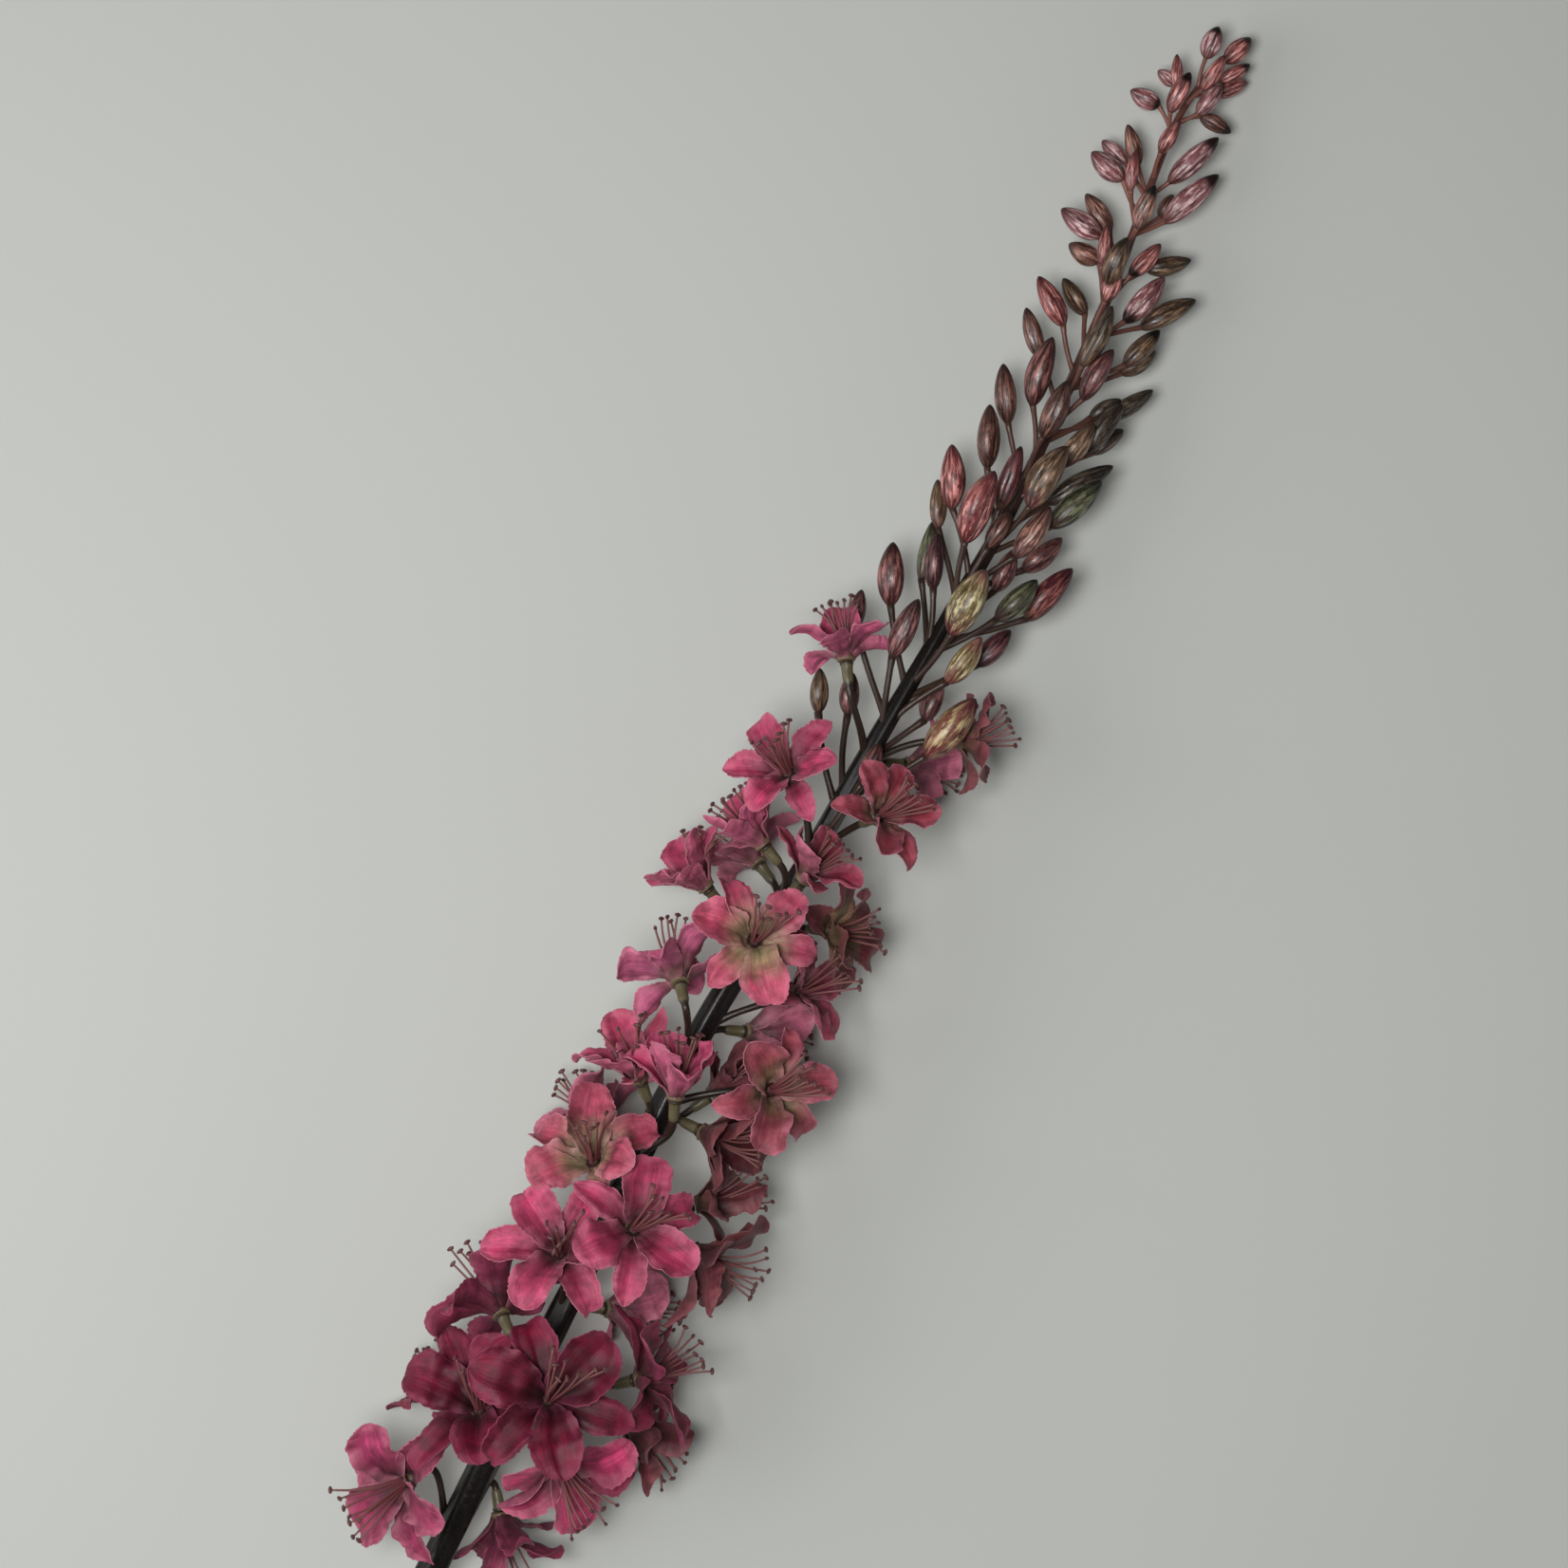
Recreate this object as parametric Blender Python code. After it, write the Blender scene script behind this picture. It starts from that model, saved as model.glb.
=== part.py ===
# Foxtail lily flower spike, cut and laid on its side: one stem with its stalks and buds, and open
# blooms pushed onto it. Metres, +Z up, +X from the cut end towards the tip. The picture that the
# places of the blooms come from looks straight down on it.

import math
import random
from collections import namedtuple
from functools import partial

import bpy
from mathutils import Matrix, Vector
from mathutils.bvhtree import BVHTree

MM = 0.001

# The picture: its scale at the height of the stem, and the line that the spike follows in it
PIXEL = 0.27 * MM
PICTURE_CENTRE = (826, 826)
SPIKE_FOOT = (462, 1640)
SPIKE_TOP = (1290, 50)
EYE_DISTANCE = 1050 * MM
EYE_LEVEL = 32 * MM

# The stem from its cut end to the tip, as along, across and above the surface that it lies on
STEM_KNOTS = [
    (-130 * MM, -4.0 * MM, 4.2 * MM),
    (-112 * MM, -3.6 * MM, 4.2 * MM),
    (0 * MM, 0.0 * MM, 25.0 * MM),
    (80 * MM, 1.2 * MM, 33.0 * MM),
    (165 * MM, 2.6 * MM, 34.0 * MM),
    (219 * MM, -1.5 * MM, 32.0 * MM),
    (265 * MM, -3.2 * MM, 29.5 * MM),
    (304 * MM, -5.4 * MM, 26.5 * MM),
    (345 * MM, -7.0 * MM, 22.5 * MM),
    (410 * MM, -3.6 * MM, 16.5 * MM),
    (462 * MM, 2.1 * MM, 12.0 * MM),
    (480 * MM, 0.6 * MM, 11.0 * MM),
]
STEM_RADII = [
    (-130 * MM, 4.7 * MM),
    (0 * MM, 4.6 * MM),
    (165 * MM, 3.9 * MM),
    (265 * MM, 2.9 * MM),
    (345 * MM, 2.0 * MM),
    (480 * MM, 0.9 * MM),
]
STEM_SIDES = 8
LONGEST_STEM_STEP = 45 * MM

# A stalk runs up beside the stem, bends out and ends in the tube that a bloom is pushed onto
STALK_RADIUS = 1.1 * MM
STALK_SIDES = 4
STALK_PARTS = 3
STALK_RUN = 17 * MM
STALK_LEAVE = 0.45
STALK_OUTWARD = 0.27
STALK_ARRIVE = 0.4
TUBE_LENGTH = 6.4 * MM
TUBE_RADII = (1.6 * MM, 1.9 * MM)
TUBE_STEP = 0.8 * MM
SEAT_GAP = 0.3 * MM
SUNK = 1.2 * MM

# A bloom: a six-sided boss with a petal on each side. Broad petals stand on the upper edge of
# every other side, and narrow ones open out below them. An outline gives shares of a petal's
# length and half width from its second row out to its tip.
PetalKind = namedtuple("PetalKind", "ring half_width outline length camber opened")
BROAD = PetalKind(0, 0.34, [(0.4, 0.95), (0.8, 0.9), (1, 0.4)], 1.0, 0.2, 0)
NARROW = PetalKind(2, 0.25, [(0.55, 1.0), (1, 0.2)], 1.04, 0.0, -14)
PETALS = 6
FOOT_PETAL = 23 * MM
TOP_PETAL = 15.5 * MM
TOP_BLOOM_X = 281 * MM
PETAL_THICKNESS = 0.7 * MM
ROOT_ANGLE = 56
TIP_ANGLE = -16
CUP_ROOT, CUP_TIP = 0.6, 1.8
COURSE_STEPS = 20
LIFT_SETTLED = 0.2
BOSS_RADIUS = 2.3 * MM
BOSS_DEPTH = 2.1 * MM
LENGTH_SPREAD, WIDTH_SPREAD, ANGLE_SPREAD = 0.07, 0.1, 5
PETAL_SEED = 1000

# Stamens are threads that end in a knob. A fan gives degrees sideways and up from the bloom's own
# direction for them, and the same fan sets their roots apart on the throat.
STAMEN_FANS = [(-14, 8), (20, -4), (-30, -14), (4, 22)]
STAMEN_LENGTH = 0.92
STAMEN_KNEE = 0.45
STAMEN_RADIUS = 0.5 * MM
ROOT_SPREAD = 0.05 * MM
KNOB_RADIUS = 0.95 * MM

# How far a petal or stamen may bend from its own course, in degrees, to clear what lies beside it,
# and by how much chance makes a petal differ from its neighbours
Bend = namedtuple("Bend", "lift swing shrink")
Draw = namedtuple("Draw", "length width closed turn")
LIFTS = (0, -10, 10, -20, 20, 32, 44, 56, 68)
SWINGS = (0, 11, -11)
SHRINKS = (1.0, 0.8, 0.62)
SWING_COST, SHRINK_COST = 1.5, 160
CLEARANCE = 0.3 * MM
DEEPEST_PRESS = 9 * MM

# One row for each bud: its foot and its tip in the picture; its foot's height over the stem's
# middle in mm; how far it rises out of the picture, in degrees; and its width in pixels
Bud = namedtuple("Bud", "foot tip above rise width")
BUDS = [
    Bud((1270, 62), (1284, 28), 3, 5, 22),
    Bud((1290, 66), (1318, 40), 0, 0, 22),
    Bud((1266, 96), (1291, 58), 4.5, 10, 17),
    Bud((1284, 86), (1317, 68), -2, 0, 17),
    Bud((1280, 100), (1314, 86), -4.5, -4, 18),
    Bud((1261, 121), (1287, 89), 2.5, 8, 19),
    Bud((1264, 122), (1297, 140), -1, -3, 18),
    Bud((1231, 193), (1284, 145), 1, 3, 24),
    Bud((1226, 235), (1284, 184), -1.5, 0, 26),
    Bud((1232, 119), (1254, 76), 5, 12, 20),
    Bud((1239, 95), (1240, 57), 0, 5, 13),
    Bud((1238, 90), (1220, 74), -1, 0, 16),
    Bud((1222, 112), (1191, 95), 0, 4, 22),
    Bud((1222, 162), (1243, 127), 6, 12, 17),
    Bud((1184, 190), (1150, 160), 1.5, 6, 25),
    Bud((1187, 172), (1161, 148), -2.5, 0, 19),
    Bud((1199, 176), (1188, 131), -1, 2, 18),
    Bud((1191, 202), (1197, 158), 4.5, 8, 14),
    Bud((1197, 242), (1217, 195), 7, 14, 20),
    Bud((1222, 230), (1236, 205), -4, -5, 17),
    Bud((1160, 250), (1118, 220), 2, 5, 26),
    Bud((1170, 246), (1144, 204), -1.5, 0, 22),
    Bud((1159, 276), (1126, 257), 0, 3, 23),
    Bud((1160, 281), (1167, 236), 4.5, 8, 13),
    Bud((1167, 300), (1188, 250), 8, 14, 24),
    Bud((1164, 318), (1180, 286), 5, 5, 20),
    Bud((1190, 291), (1223, 257), 1.5, 5, 20),
    Bud((1206, 284), (1255, 274), -2, -3, 21),
    Bud((1184, 340), (1227, 292), 1.5, 4, 25),
    Bud((1201, 346), (1260, 316), -2, -2, 24),
    Bud((1121, 344), (1094, 291), 1.5, 4, 24),
    Bud((1144, 332), (1120, 293), -2, 0, 21),
    Bud((1139, 387), (1172, 322), 8.5, 12, 22),
    Bud((1096, 378), (1081, 324), 0.5, 3, 20),
    Bud((1087, 428), (1109, 355), 5, 8, 28),
    Bud((1062, 447), (1057, 383), 0, 2, 24),
    Bud((1140, 422), (1173, 368), 6, 9, 24),
    Bud((1184, 386), (1222, 348), 0, 0, 22),
    Bud((1180, 394), (1218, 370), -4, -5, 22),
    Bud((1098, 462), (1125, 401), 8, 12, 26),
    Bud((1148, 441), (1181, 421), -3, -3, 18),
    Bud((1165, 442), (1215, 411), -5, -5, 20),
    Bud((1144, 477), (1183, 426), 1.5, 4, 22),
    Bud((1150, 478), (1184, 453), -4, -4, 20),
    Bud((1040, 494), (1043, 426), 1, 3, 25),
    Bud((1003, 537), (1003, 468), 1.5, 4, 27),
    Bud((1016, 572), (1048, 496), 8, 12, 34),
    Bud((1052, 538), (1076, 470), 5.5, 8, 22),
    Bud((1084, 535), (1124, 470), 8, 10, 33),
    Bud((1116, 492), (1153, 446), 4, 6, 24),
    Bud((1103, 531), (1173, 491), -2, -2, 24),
    Bud((1106, 556), (1161, 507), 1, 2, 28),
    Bud((1069, 588), (1107, 534), 3.5, 6, 26),
    Bud((1077, 602), (1119, 567), -2.5, -2, 24),
    Bud((1040, 578), (1066, 538), 6, 8, 20),
    Bud((988, 558), (988, 505), -1.5, 0, 19),
    Bud((970, 612), (983, 549), -2.5, -2, 19),
    Bud((983, 622), (988, 561), 2, 4, 21),
    Bud((1047, 624), (1069, 579), -2, 0, 23),
    Bud((1002, 669), (1039, 600), 10, 12, 36),
    Bud((1049, 654), (1093, 611), 2, 4, 26),
    Bud((1080, 654), (1130, 599), -2, -2, 28),
    Bud((1028, 702), (1065, 664), -4, -4, 24),
    Bud((997, 720), (1034, 671), 4, 7, 26),
    Bud((938, 639), (941, 571), 1, 3, 29),
    Bud((939, 693), (968, 631), 6, 8, 25),
    Bud((862, 752), (864, 704), 0, 3, 20),
    Bud((893, 754), (898, 708), -3, 0, 22),
    Bud((901, 662), (908, 621), -2, 0, 18),
    Bud((975, 798), (1028, 736), 7, 6, 35),
    Bud((974, 760), (992, 716), -2, 0, 24),
    Bud((908, 826), (927, 783), 7, 8, 21),
]
# From the first to the second end of the zone of buds, their stalks get shorter and thinner. The
# rings of a bud are shares of the way from its foot to its tip and shares of its half width.
BUD_ZONE = (236 * MM, 479 * MM)
BUD_RUNS = (24 * MM, 4 * MM)
BUD_STALK_RADII = (1.0 * MM, 0.6 * MM)
BUD_RINGS = [(0.22, 0.9), (0.66, 0.92), (1.0, 0.22)]
BUD_SIDES, SLIM_BUD_SIDES = 5, 4
SLIM_BUD = 20
BUD_GROUND = 0.2 * MM

# One row for each bloom that the picture shows: its throat in the picture; its height over the
# stem's middle in mm; where it looks and where its stamens point, as degrees anticlockwise from
# the picture's right and degrees out of the picture; its turn about its own axis; how far it is
# closed, in degrees; its size against its neighbours'; and its colour
Bloom = namedtuple("Bloom", "pixel above looks stamens spin closed size colour")
SHOWN_BLOOMS = [
    Bloom((795, 991), 25, (60, 72), (66, 40), 17, 0, 1.05, "pink"),
    Bloom((578, 1475), 25, (60, 68), (62, 38), 12, 0, 1.12, "crimson"),
    Bloom((668, 1295), 23, (50, 70), (45, 35), 60, 0, 1.0, "pink"),
    Bloom((590, 1320), 23, (100, 66), (80, 60), 50, 4, 1.0, "pink"),
    Bloom((830, 814), 17, (125, 60), (118, 30), 20, 4, 1.0, "pink"),
    Bloom((812, 1149), 13, (5, 58), (32, 30), 35, 0, 1.0, "pink"),
    Bloom((927, 859), 14, (25, 50), (38, 25), 5, 4, 1.0, "pink"),
    Bloom((715, 1030), 18, (105, -38), (95, -20), 20, -4, 1.0, "pink"),
    Bloom((712, 1150), 22, (85, 16), (85, 10), 45, 34, 0.95, "pink"),
    Bloom((625, 1223), 15, (100, 58), (95, 40), 20, 0, 1.0, "pink"),
    Bloom((891, 689), 8, (95, -14), (108, 0), 10, 4, 1.05, "pink"),
    Bloom((672, 1132), 13, (110, 22), (100, 30), 40, 30, 1.0, "pink"),
    Bloom((526, 1380), 13, (120, -34), (120, -15), 8, -6, 1.0, "crimson"),
    Bloom((505, 1485), 13, (105, 50), (85, 40), 88, 4, 1.1, "crimson"),
    Bloom((427, 1562), 9, (205, 48), (212, 25), 50, 0, 1.0, "pink"),
    Bloom((677, 1452), 3, (15, 12), (38, 15), 50, -6, 1.0, "crimson"),
    Bloom((842, 1045), 7, (20, 22), (35, 20), 30, 4, 1.0, "pink"),
    Bloom((877, 981), 3, (-5, 35), (10, 30), 10, 4, 1.0, "dusty"),
    Bloom((1016, 781), 2, (0, 5), (30, 10), 20, 0, 1.0, "dusty"),
    Bloom((740, 930), 4, (130, 10), (82, 16), 20, 28, 1.0, "pink"),
    Bloom((800, 885), 14, (130, 4), (130, 4), 5, 34, 1.0, "pink"),
    Bloom((850, 922), 13, (50, 24), (44, 20), 44, 14, 0.95, "pink"),
    Bloom((745, 1195), 6, (-25, 22), (0, 22), 30, 20, 1.0, "dusty"),
    Bloom((735, 1320), 2, (-35, 8), (-8, 12), 8, 12, 1.05, "dusty"),
    Bloom((740, 1268), -6, (10, -4), (25, 0), 30, 16, 1.0, "dusty"),
    Bloom((590, 1540), 5, (-62, 46), (-50, 20), 12, 0, 1.05, "pink"),
    Bloom((665, 1503), -9, (-30, -8), (-50, 0), 30, 16, 0.9, "dusty"),
    Bloom((528, 1600), -6, (-80, 0), (-80, 0), 10, 20, 0.9, "crimson"),
    Bloom((755, 1150), -6, (35, -4), (35, 0), 25, 30, 0.9, "dusty"),
]
# Blooms on the underside, which the picture doesn't show, take turns left and right
UNDER_BLOOMS = 6
UNDER_ZONE = (38 * MM, 262 * MM)
UNDER_SIDE = 13 * MM
UNDER_DROP = 18 * MM
UNDER_HEADINGS = (128, -8)
UNDER_RISE = -22
UNDER_CLOSED = 12
UNDER_SIZE = 1.0
UNDER_SPIN = 63
UNDER_CRIMSON_X = 75 * MM

# Base colours in linear light, from the picture
STEM_COLOUR = (0.045, 0.032, 0.026, 1.0)
PETAL_COLOURS = {
    "pink": (0.38, 0.05, 0.11, 1.0),
    "crimson": (0.20, 0.02, 0.05, 1.0),
    "dusty": (0.34, 0.09, 0.11, 1.0),
}
STEM_ROUGHNESS, PETAL_ROUGHNESS = 0.55, 0.8


def lerp(a, b, share):
    return a + (b - a) * share


def from_table(table, x):
    """The value at x of a table of (x, value), straight between its rows."""
    for (x0, v0), (x1, v1) in zip(table, table[1:]):
        if x <= x1:
            return lerp(v0, v1, max(0.0, (x - x0) / (x1 - x0)))
    return table[-1][1]


def stem_at(x):
    """The middle of the stem at x, on a smooth curve through its knots."""
    last = len(STEM_KNOTS) - 1
    i = next((k for k in range(last) if x <= STEM_KNOTS[k + 1][0]), last - 1)
    before, after = STEM_KNOTS[max(i - 1, 0)], STEM_KNOTS[min(i + 2, last)]
    here, there = STEM_KNOTS[i], STEM_KNOTS[i + 1]
    span = there[0] - here[0]
    t = (x - here[0]) / span
    point = [x]
    for axis in (1, 2):
        slope_here = (there[axis] - before[axis]) / (there[0] - before[0]) * span
        slope_there = (after[axis] - here[axis]) / (after[0] - here[0]) * span
        start = (2 * t**3 - 3 * t**2 + 1) * here[axis] + (t**3 - 2 * t**2 + t) * slope_here
        end = (3 * t**2 - 2 * t**3) * there[axis] + (t**3 - t**2) * slope_there
        point.append(start + end)
    return Vector(point)


def stem_direction(x):
    return (stem_at(x + MM) - stem_at(x - MM)).normalized()


def picture_axes():
    """The spike's X and Y as the picture shows them, each as its share of right and of up."""
    right = SPIKE_TOP[0] - SPIKE_FOOT[0]
    up = SPIKE_FOOT[1] - SPIKE_TOP[1]
    length = math.hypot(right, up)
    return (right / length, up / length), (-up / length, right / length)


def from_picture(pixel, height):
    """The point at that height above the surface which the picture shows at pixel."""
    along, across = picture_axes()
    near = (EYE_DISTANCE - (height - EYE_LEVEL)) / EYE_DISTANCE
    right = (pixel[0] - PICTURE_CENTRE[0]) * near + PICTURE_CENTRE[0] - SPIKE_FOOT[0]
    up = (PICTURE_CENTRE[1] - pixel[1]) * near + SPIKE_FOOT[1] - PICTURE_CENTRE[1]
    x = (right * along[0] + up * along[1]) * PIXEL
    y = (right * across[0] + up * across[1]) * PIXEL
    return Vector((x, y, height))


def picture_direction(heading, rise):
    """The direction that points along heading in the picture and rises out of it."""
    along, across = picture_axes()
    right = math.cos(math.radians(heading)) * math.cos(math.radians(rise))
    up = math.sin(math.radians(heading)) * math.cos(math.radians(rise))
    x = right * along[0] + up * along[1]
    y = right * across[0] + up * across[1]
    return Vector((x, y, math.sin(math.radians(rise))))


def facing(axis, spin):
    """The turn that brings +Z onto axis, after a spin about it."""
    return axis.to_track_quat("Z", "Y").to_matrix() @ Matrix.Rotation(spin, 3, "Z")


Place = namedtuple("Place", "throat axis turn stamens closed petal colour")


def petal_length(x):
    return lerp(FOOT_PETAL, TOP_PETAL, max(0.0, min(1.0, x / TOP_BLOOM_X)))


def bloom_places():
    """Where every bloom sits and how it stands, those in front first."""
    places = []
    for bloom in SHOWN_BLOOMS:
        level = from_picture(bloom.pixel, EYE_LEVEL)
        throat = from_picture(bloom.pixel, stem_at(level.x).z + bloom.above * MM)
        axis = picture_direction(*bloom.looks)
        turn = facing(axis, math.radians(bloom.spin))
        stamens = picture_direction(*bloom.stamens)
        length = petal_length(throat.x) * bloom.size
        places.append(Place(throat, axis, turn, stamens, bloom.closed, length, bloom.colour))
    for i in range(UNDER_BLOOMS):
        x = lerp(*UNDER_ZONE, i / (UNDER_BLOOMS - 1))
        side = 1 - 2 * (i % 2)
        throat = stem_at(x) + Vector((0, side * UNDER_SIDE, -UNDER_DROP))
        axis = picture_direction(UNDER_HEADINGS[i % 2], UNDER_RISE)
        turn = facing(axis, math.radians(i * UNDER_SPIN))
        length = petal_length(x) * UNDER_SIZE
        colour = "crimson" if x < UNDER_CRIMSON_X else "pink"
        places.append(Place(throat, axis, turn, axis, UNDER_CLOSED, length, colour))
    return places


def ring_tube(points, radii, sides):
    """A closed tube through points, as corners and faces."""
    corners = []
    side = (points[1] - points[0]).orthogonal().normalized()
    for i, (point, radius) in enumerate(zip(points, radii)):
        tangent = (points[min(i + 1, len(points) - 1)] - points[max(i - 1, 0)]).normalized()
        side = (side - tangent * side.dot(tangent)).normalized()
        other = tangent.cross(side)
        for k in range(sides):
            angle = math.tau * k / sides
            corners.append(point + (side * math.cos(angle) + other * math.sin(angle)) * radius)
    return corners, ring_faces(len(points), sides)


def ring_faces(rings, sides):
    """Faces of a closed stack of rings of corners, the first and last ring capped."""
    faces = [tuple(reversed(range(sides)))]
    for i in range(rings - 1):
        for k in range(sides):
            a, b = i * sides + k, i * sides + (k + 1) % sides
            faces += [(a, b, b + sides), (a, b + sides, a + sides)]
    faces.append(tuple((rings - 1) * sides + k for k in range(sides)))
    return faces


def bezier(points, parts):
    """Points on the curve that the four control points give."""
    made = []
    for i in range(parts + 1):
        t = i / parts
        shares = ((1 - t) ** 3, 3 * t * (1 - t) ** 2, 3 * t * t * (1 - t), t**3)
        made.append(sum((p * share for p, share in zip(points, shares)), Vector()))
    return made


def stem_solid():
    """The stem, its cut end square to X and flat underneath where it lies on the surface."""
    stations = [STEM_KNOTS[0][0]]
    for (start, *_), (end, *_) in zip(STEM_KNOTS, STEM_KNOTS[1:]):
        parts = math.ceil((end - start) / LONGEST_STEM_STEP)
        stations += [lerp(start, end, (i + 1) / parts) for i in range(parts)]
    corners = []
    for x in stations:
        middle, radius = stem_at(x), from_table(STEM_RADII, x)
        for k in range(STEM_SIDES):
            angle = math.tau * (k + 0.5) / STEM_SIDES
            corner = middle + Vector((0, math.cos(angle), math.sin(angle))) * radius
            corner.z = max(corner.z, 0.0)
            corners.append(corner)
    return corners, ring_faces(len(stations), STEM_SIDES)


def tube_ends(place):
    """The foot and the seat of the tube that carries a bloom."""
    seat = place.throat - place.axis * (BOSS_DEPTH + SEAT_GAP)
    return seat - place.axis * TUBE_LENGTH, seat


def stalk_points(place):
    """The course of a bloom's stalk, from inside the stem to the foot of its tube."""
    foot, _ = tube_ends(place)
    start = stem_at(foot.x - STALK_RUN)
    along = stem_direction(start.x)
    outward = foot - stem_at(foot.x)
    leave = start + along * STALK_RUN * STALK_LEAVE + outward * STALK_OUTWARD
    arrive = foot - place.axis * STALK_RUN * STALK_ARRIVE
    return bezier([start, leave, arrive, foot], STALK_PARTS)


def stalk_solid(place):
    """A stalk that widens into its tube."""
    foot, seat = tube_ends(place)
    points = [*stalk_points(place), foot + place.axis * TUBE_STEP, seat]
    radii = [STALK_RADIUS] * (STALK_PARTS + 1) + list(TUBE_RADII)
    return ring_tube(points, radii, STALK_SIDES)


def bud_ends(bud):
    """The foot and the tip of a bud, held off the surface, and its width."""
    width = bud.width * PIXEL
    level = from_picture(bud.foot, EYE_LEVEL)
    foot = from_picture(bud.foot, stem_at(level.x).z + bud.above * MM)
    reach = (from_picture(bud.tip, EYE_LEVEL) - level).length
    tip = from_picture(bud.tip, foot.z + reach * math.tan(math.radians(bud.rise)))
    foot.z = max(foot.z, width / 2 + BUD_GROUND)
    tip.z = max(tip.z, width / 2 + BUD_GROUND)
    return foot, tip, width


def bud_solid(bud):
    """A bud on a straight stalk that starts inside the stem."""
    foot, tip, width = bud_ends(bud)
    near = min(foot.x, BUD_ZONE[1])
    share = (near - BUD_ZONE[0]) / (BUD_ZONE[1] - BUD_ZONE[0])
    start = stem_at(near - lerp(*BUD_RUNS, share))
    stalk_radius = lerp(*BUD_STALK_RADII, share)
    points = [start, foot, *(foot.lerp(tip, along) for along, _ in BUD_RINGS)]
    radii = [stalk_radius, stalk_radius, *(swell * width / 2 for _, swell in BUD_RINGS)]
    return ring_tube(points, radii, SLIM_BUD_SIDES if bud.width < SLIM_BUD else BUD_SIDES)


def boss_rings():
    """Radius and height of the rings round the boss: a broad petal's root, then a narrow one's."""
    root = math.radians(ROOT_ANGLE)
    wider = BOSS_RADIUS + math.sin(root) * PETAL_THICKNESS
    thick = math.cos(root) * PETAL_THICKNESS
    return [(BOSS_RADIUS, 0), (wider, -thick), (BOSS_RADIUS, thick - BOSS_DEPTH), (wider, -BOSS_DEPTH)]


def boss_corners():
    """Six corners for each ring of the boss, from the top down."""
    corners = []
    for radius, height in boss_rings():
        for k in range(PETALS):
            angle = math.tau * (k - 0.5) / PETALS
            corners.append(Vector((math.cos(angle) * radius, math.sin(angle) * radius, height)))
    return corners


def petal_course(kind, length, closed, lift):
    """The middle line of a petal: its distance from the bloom's axis, its height, its angle."""
    course = []
    radius, height = BOSS_RADIUS * math.cos(math.pi / PETALS), boss_rings()[kind.ring][1]
    for i in range(COURSE_STEPS + 1):
        share = i / COURSE_STEPS
        angle = lerp(ROOT_ANGLE + closed * CUP_ROOT, TIP_ANGLE + closed * CUP_TIP, share)
        angle = math.radians(angle + lift * min(1, share / LIFT_SETTLED))
        course.append((radius, height, angle))
        radius += math.cos(angle) * length / COURSE_STEPS
        height += math.sin(angle) * length / COURSE_STEPS
    return course


def petal_grid(kind):
    """A petal's corners as (row, side), its upper faces, and its edge from root to root."""
    grid, faces = [(-1, -1), (-1, 1)], []
    right, left = [0], [1]
    for row in range(len(kind.outline) - 1):
        first = len(grid)
        grid += [(row, -1), (row, 0), (row, 1)]
        if row == 0:
            faces += [(0, 2, 3), (0, 3, 1), (1, 3, 4)]
        else:
            for k in (first - 3, first - 2):
                faces += [(k, k + 3, k + 4), (k, k + 4, k + 1)]
        right.append(first)
        left.append(first + 2)
    tip = len(grid)
    grid += [(len(kind.outline) - 1, -1), (len(kind.outline) - 1, 1)]
    faces += [(tip - 3, tip, tip - 2), (tip - 2, tip, tip + 1), (tip - 2, tip + 1, tip - 1)]
    return grid, faces, right + [tip, tip + 1] + left[::-1]


def petal_corners(place, number, bend, draw, margin=0.0):
    """The upper and lower corners of a petal, pressed flat where it would pass the surface."""
    kind = petal_kind(number)
    length = place.petal * kind.length * bend.shrink * draw.length + margin
    half_width = place.petal * kind.half_width * bend.shrink * draw.width + margin
    course = petal_course(kind, length, place.closed + kind.opened + draw.closed, bend.lift)
    turned = math.tau * number / PETALS + math.radians(bend.swing + draw.turn)
    outward = Vector((math.cos(turned), math.sin(turned), 0))
    sideways = Vector((-math.sin(turned), math.cos(turned), 0))
    roots = boss_corners()[kind.ring * PETALS:]
    after = (number + 1) % PETALS
    above, below = [roots[number], roots[after]], [roots[PETALS + number], roots[PETALS + after]]
    for row, side in petal_grid(kind)[0][2:]:
        share, swell = kind.outline[row]
        radius, height, angle = course[round(share * COURSE_STEPS)]
        normal = outward * -math.sin(angle) + Vector((0, 0, math.cos(angle)))
        reach = half_width * swell
        point = outward * radius + Vector((0, 0, height)) + sideways * side * reach
        point += normal * (kind.camber * reach * abs(side) - PETAL_THICKNESS / 2)
        half = normal * (PETAL_THICKNESS / 2 + margin)
        above.append(point + half)
        below.append(point - half)
    above = [place.throat + place.turn @ corner for corner in above]
    below = [place.throat + place.turn @ corner for corner in below]
    deepest = min(point.z for point in above + below)
    for pair in zip(above, below):
        low, high = sorted(pair, key=lambda point: point.z)
        low.z = max(low.z, 0.0)
        high.z = max(high.z, PETAL_THICKNESS + 2 * margin)
    return above, below, deepest


def petal_kind(number):
    return NARROW if number % 2 else BROAD


def petal_faces(kind, above, below, closed_root):
    """Faces of a petal, from the numbers of its upper and its lower corners."""
    _, upper, rim = petal_grid(kind)
    faces = [tuple(above[k] for k in face) for face in upper]
    faces += [tuple(below[k] for k in reversed(face)) for face in upper]
    pairs = list(zip(rim, rim[1:]))
    if closed_root:
        pairs.append((rim[-1], rim[0]))
    for a, b in pairs:
        faces += [(above[b], above[a], below[a]), (above[b], below[a], below[b])]
    return faces


def petal_solid(place, number, bend, draw, margin=0.0):
    """A petal as a blade of its own, to test what it meets."""
    above, below, deepest = petal_corners(place, number, bend, draw, margin)
    count = len(above)
    numbers = range(count), range(count, 2 * count)
    return (above + below, petal_faces(petal_kind(number), *numbers, True)), deepest


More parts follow.
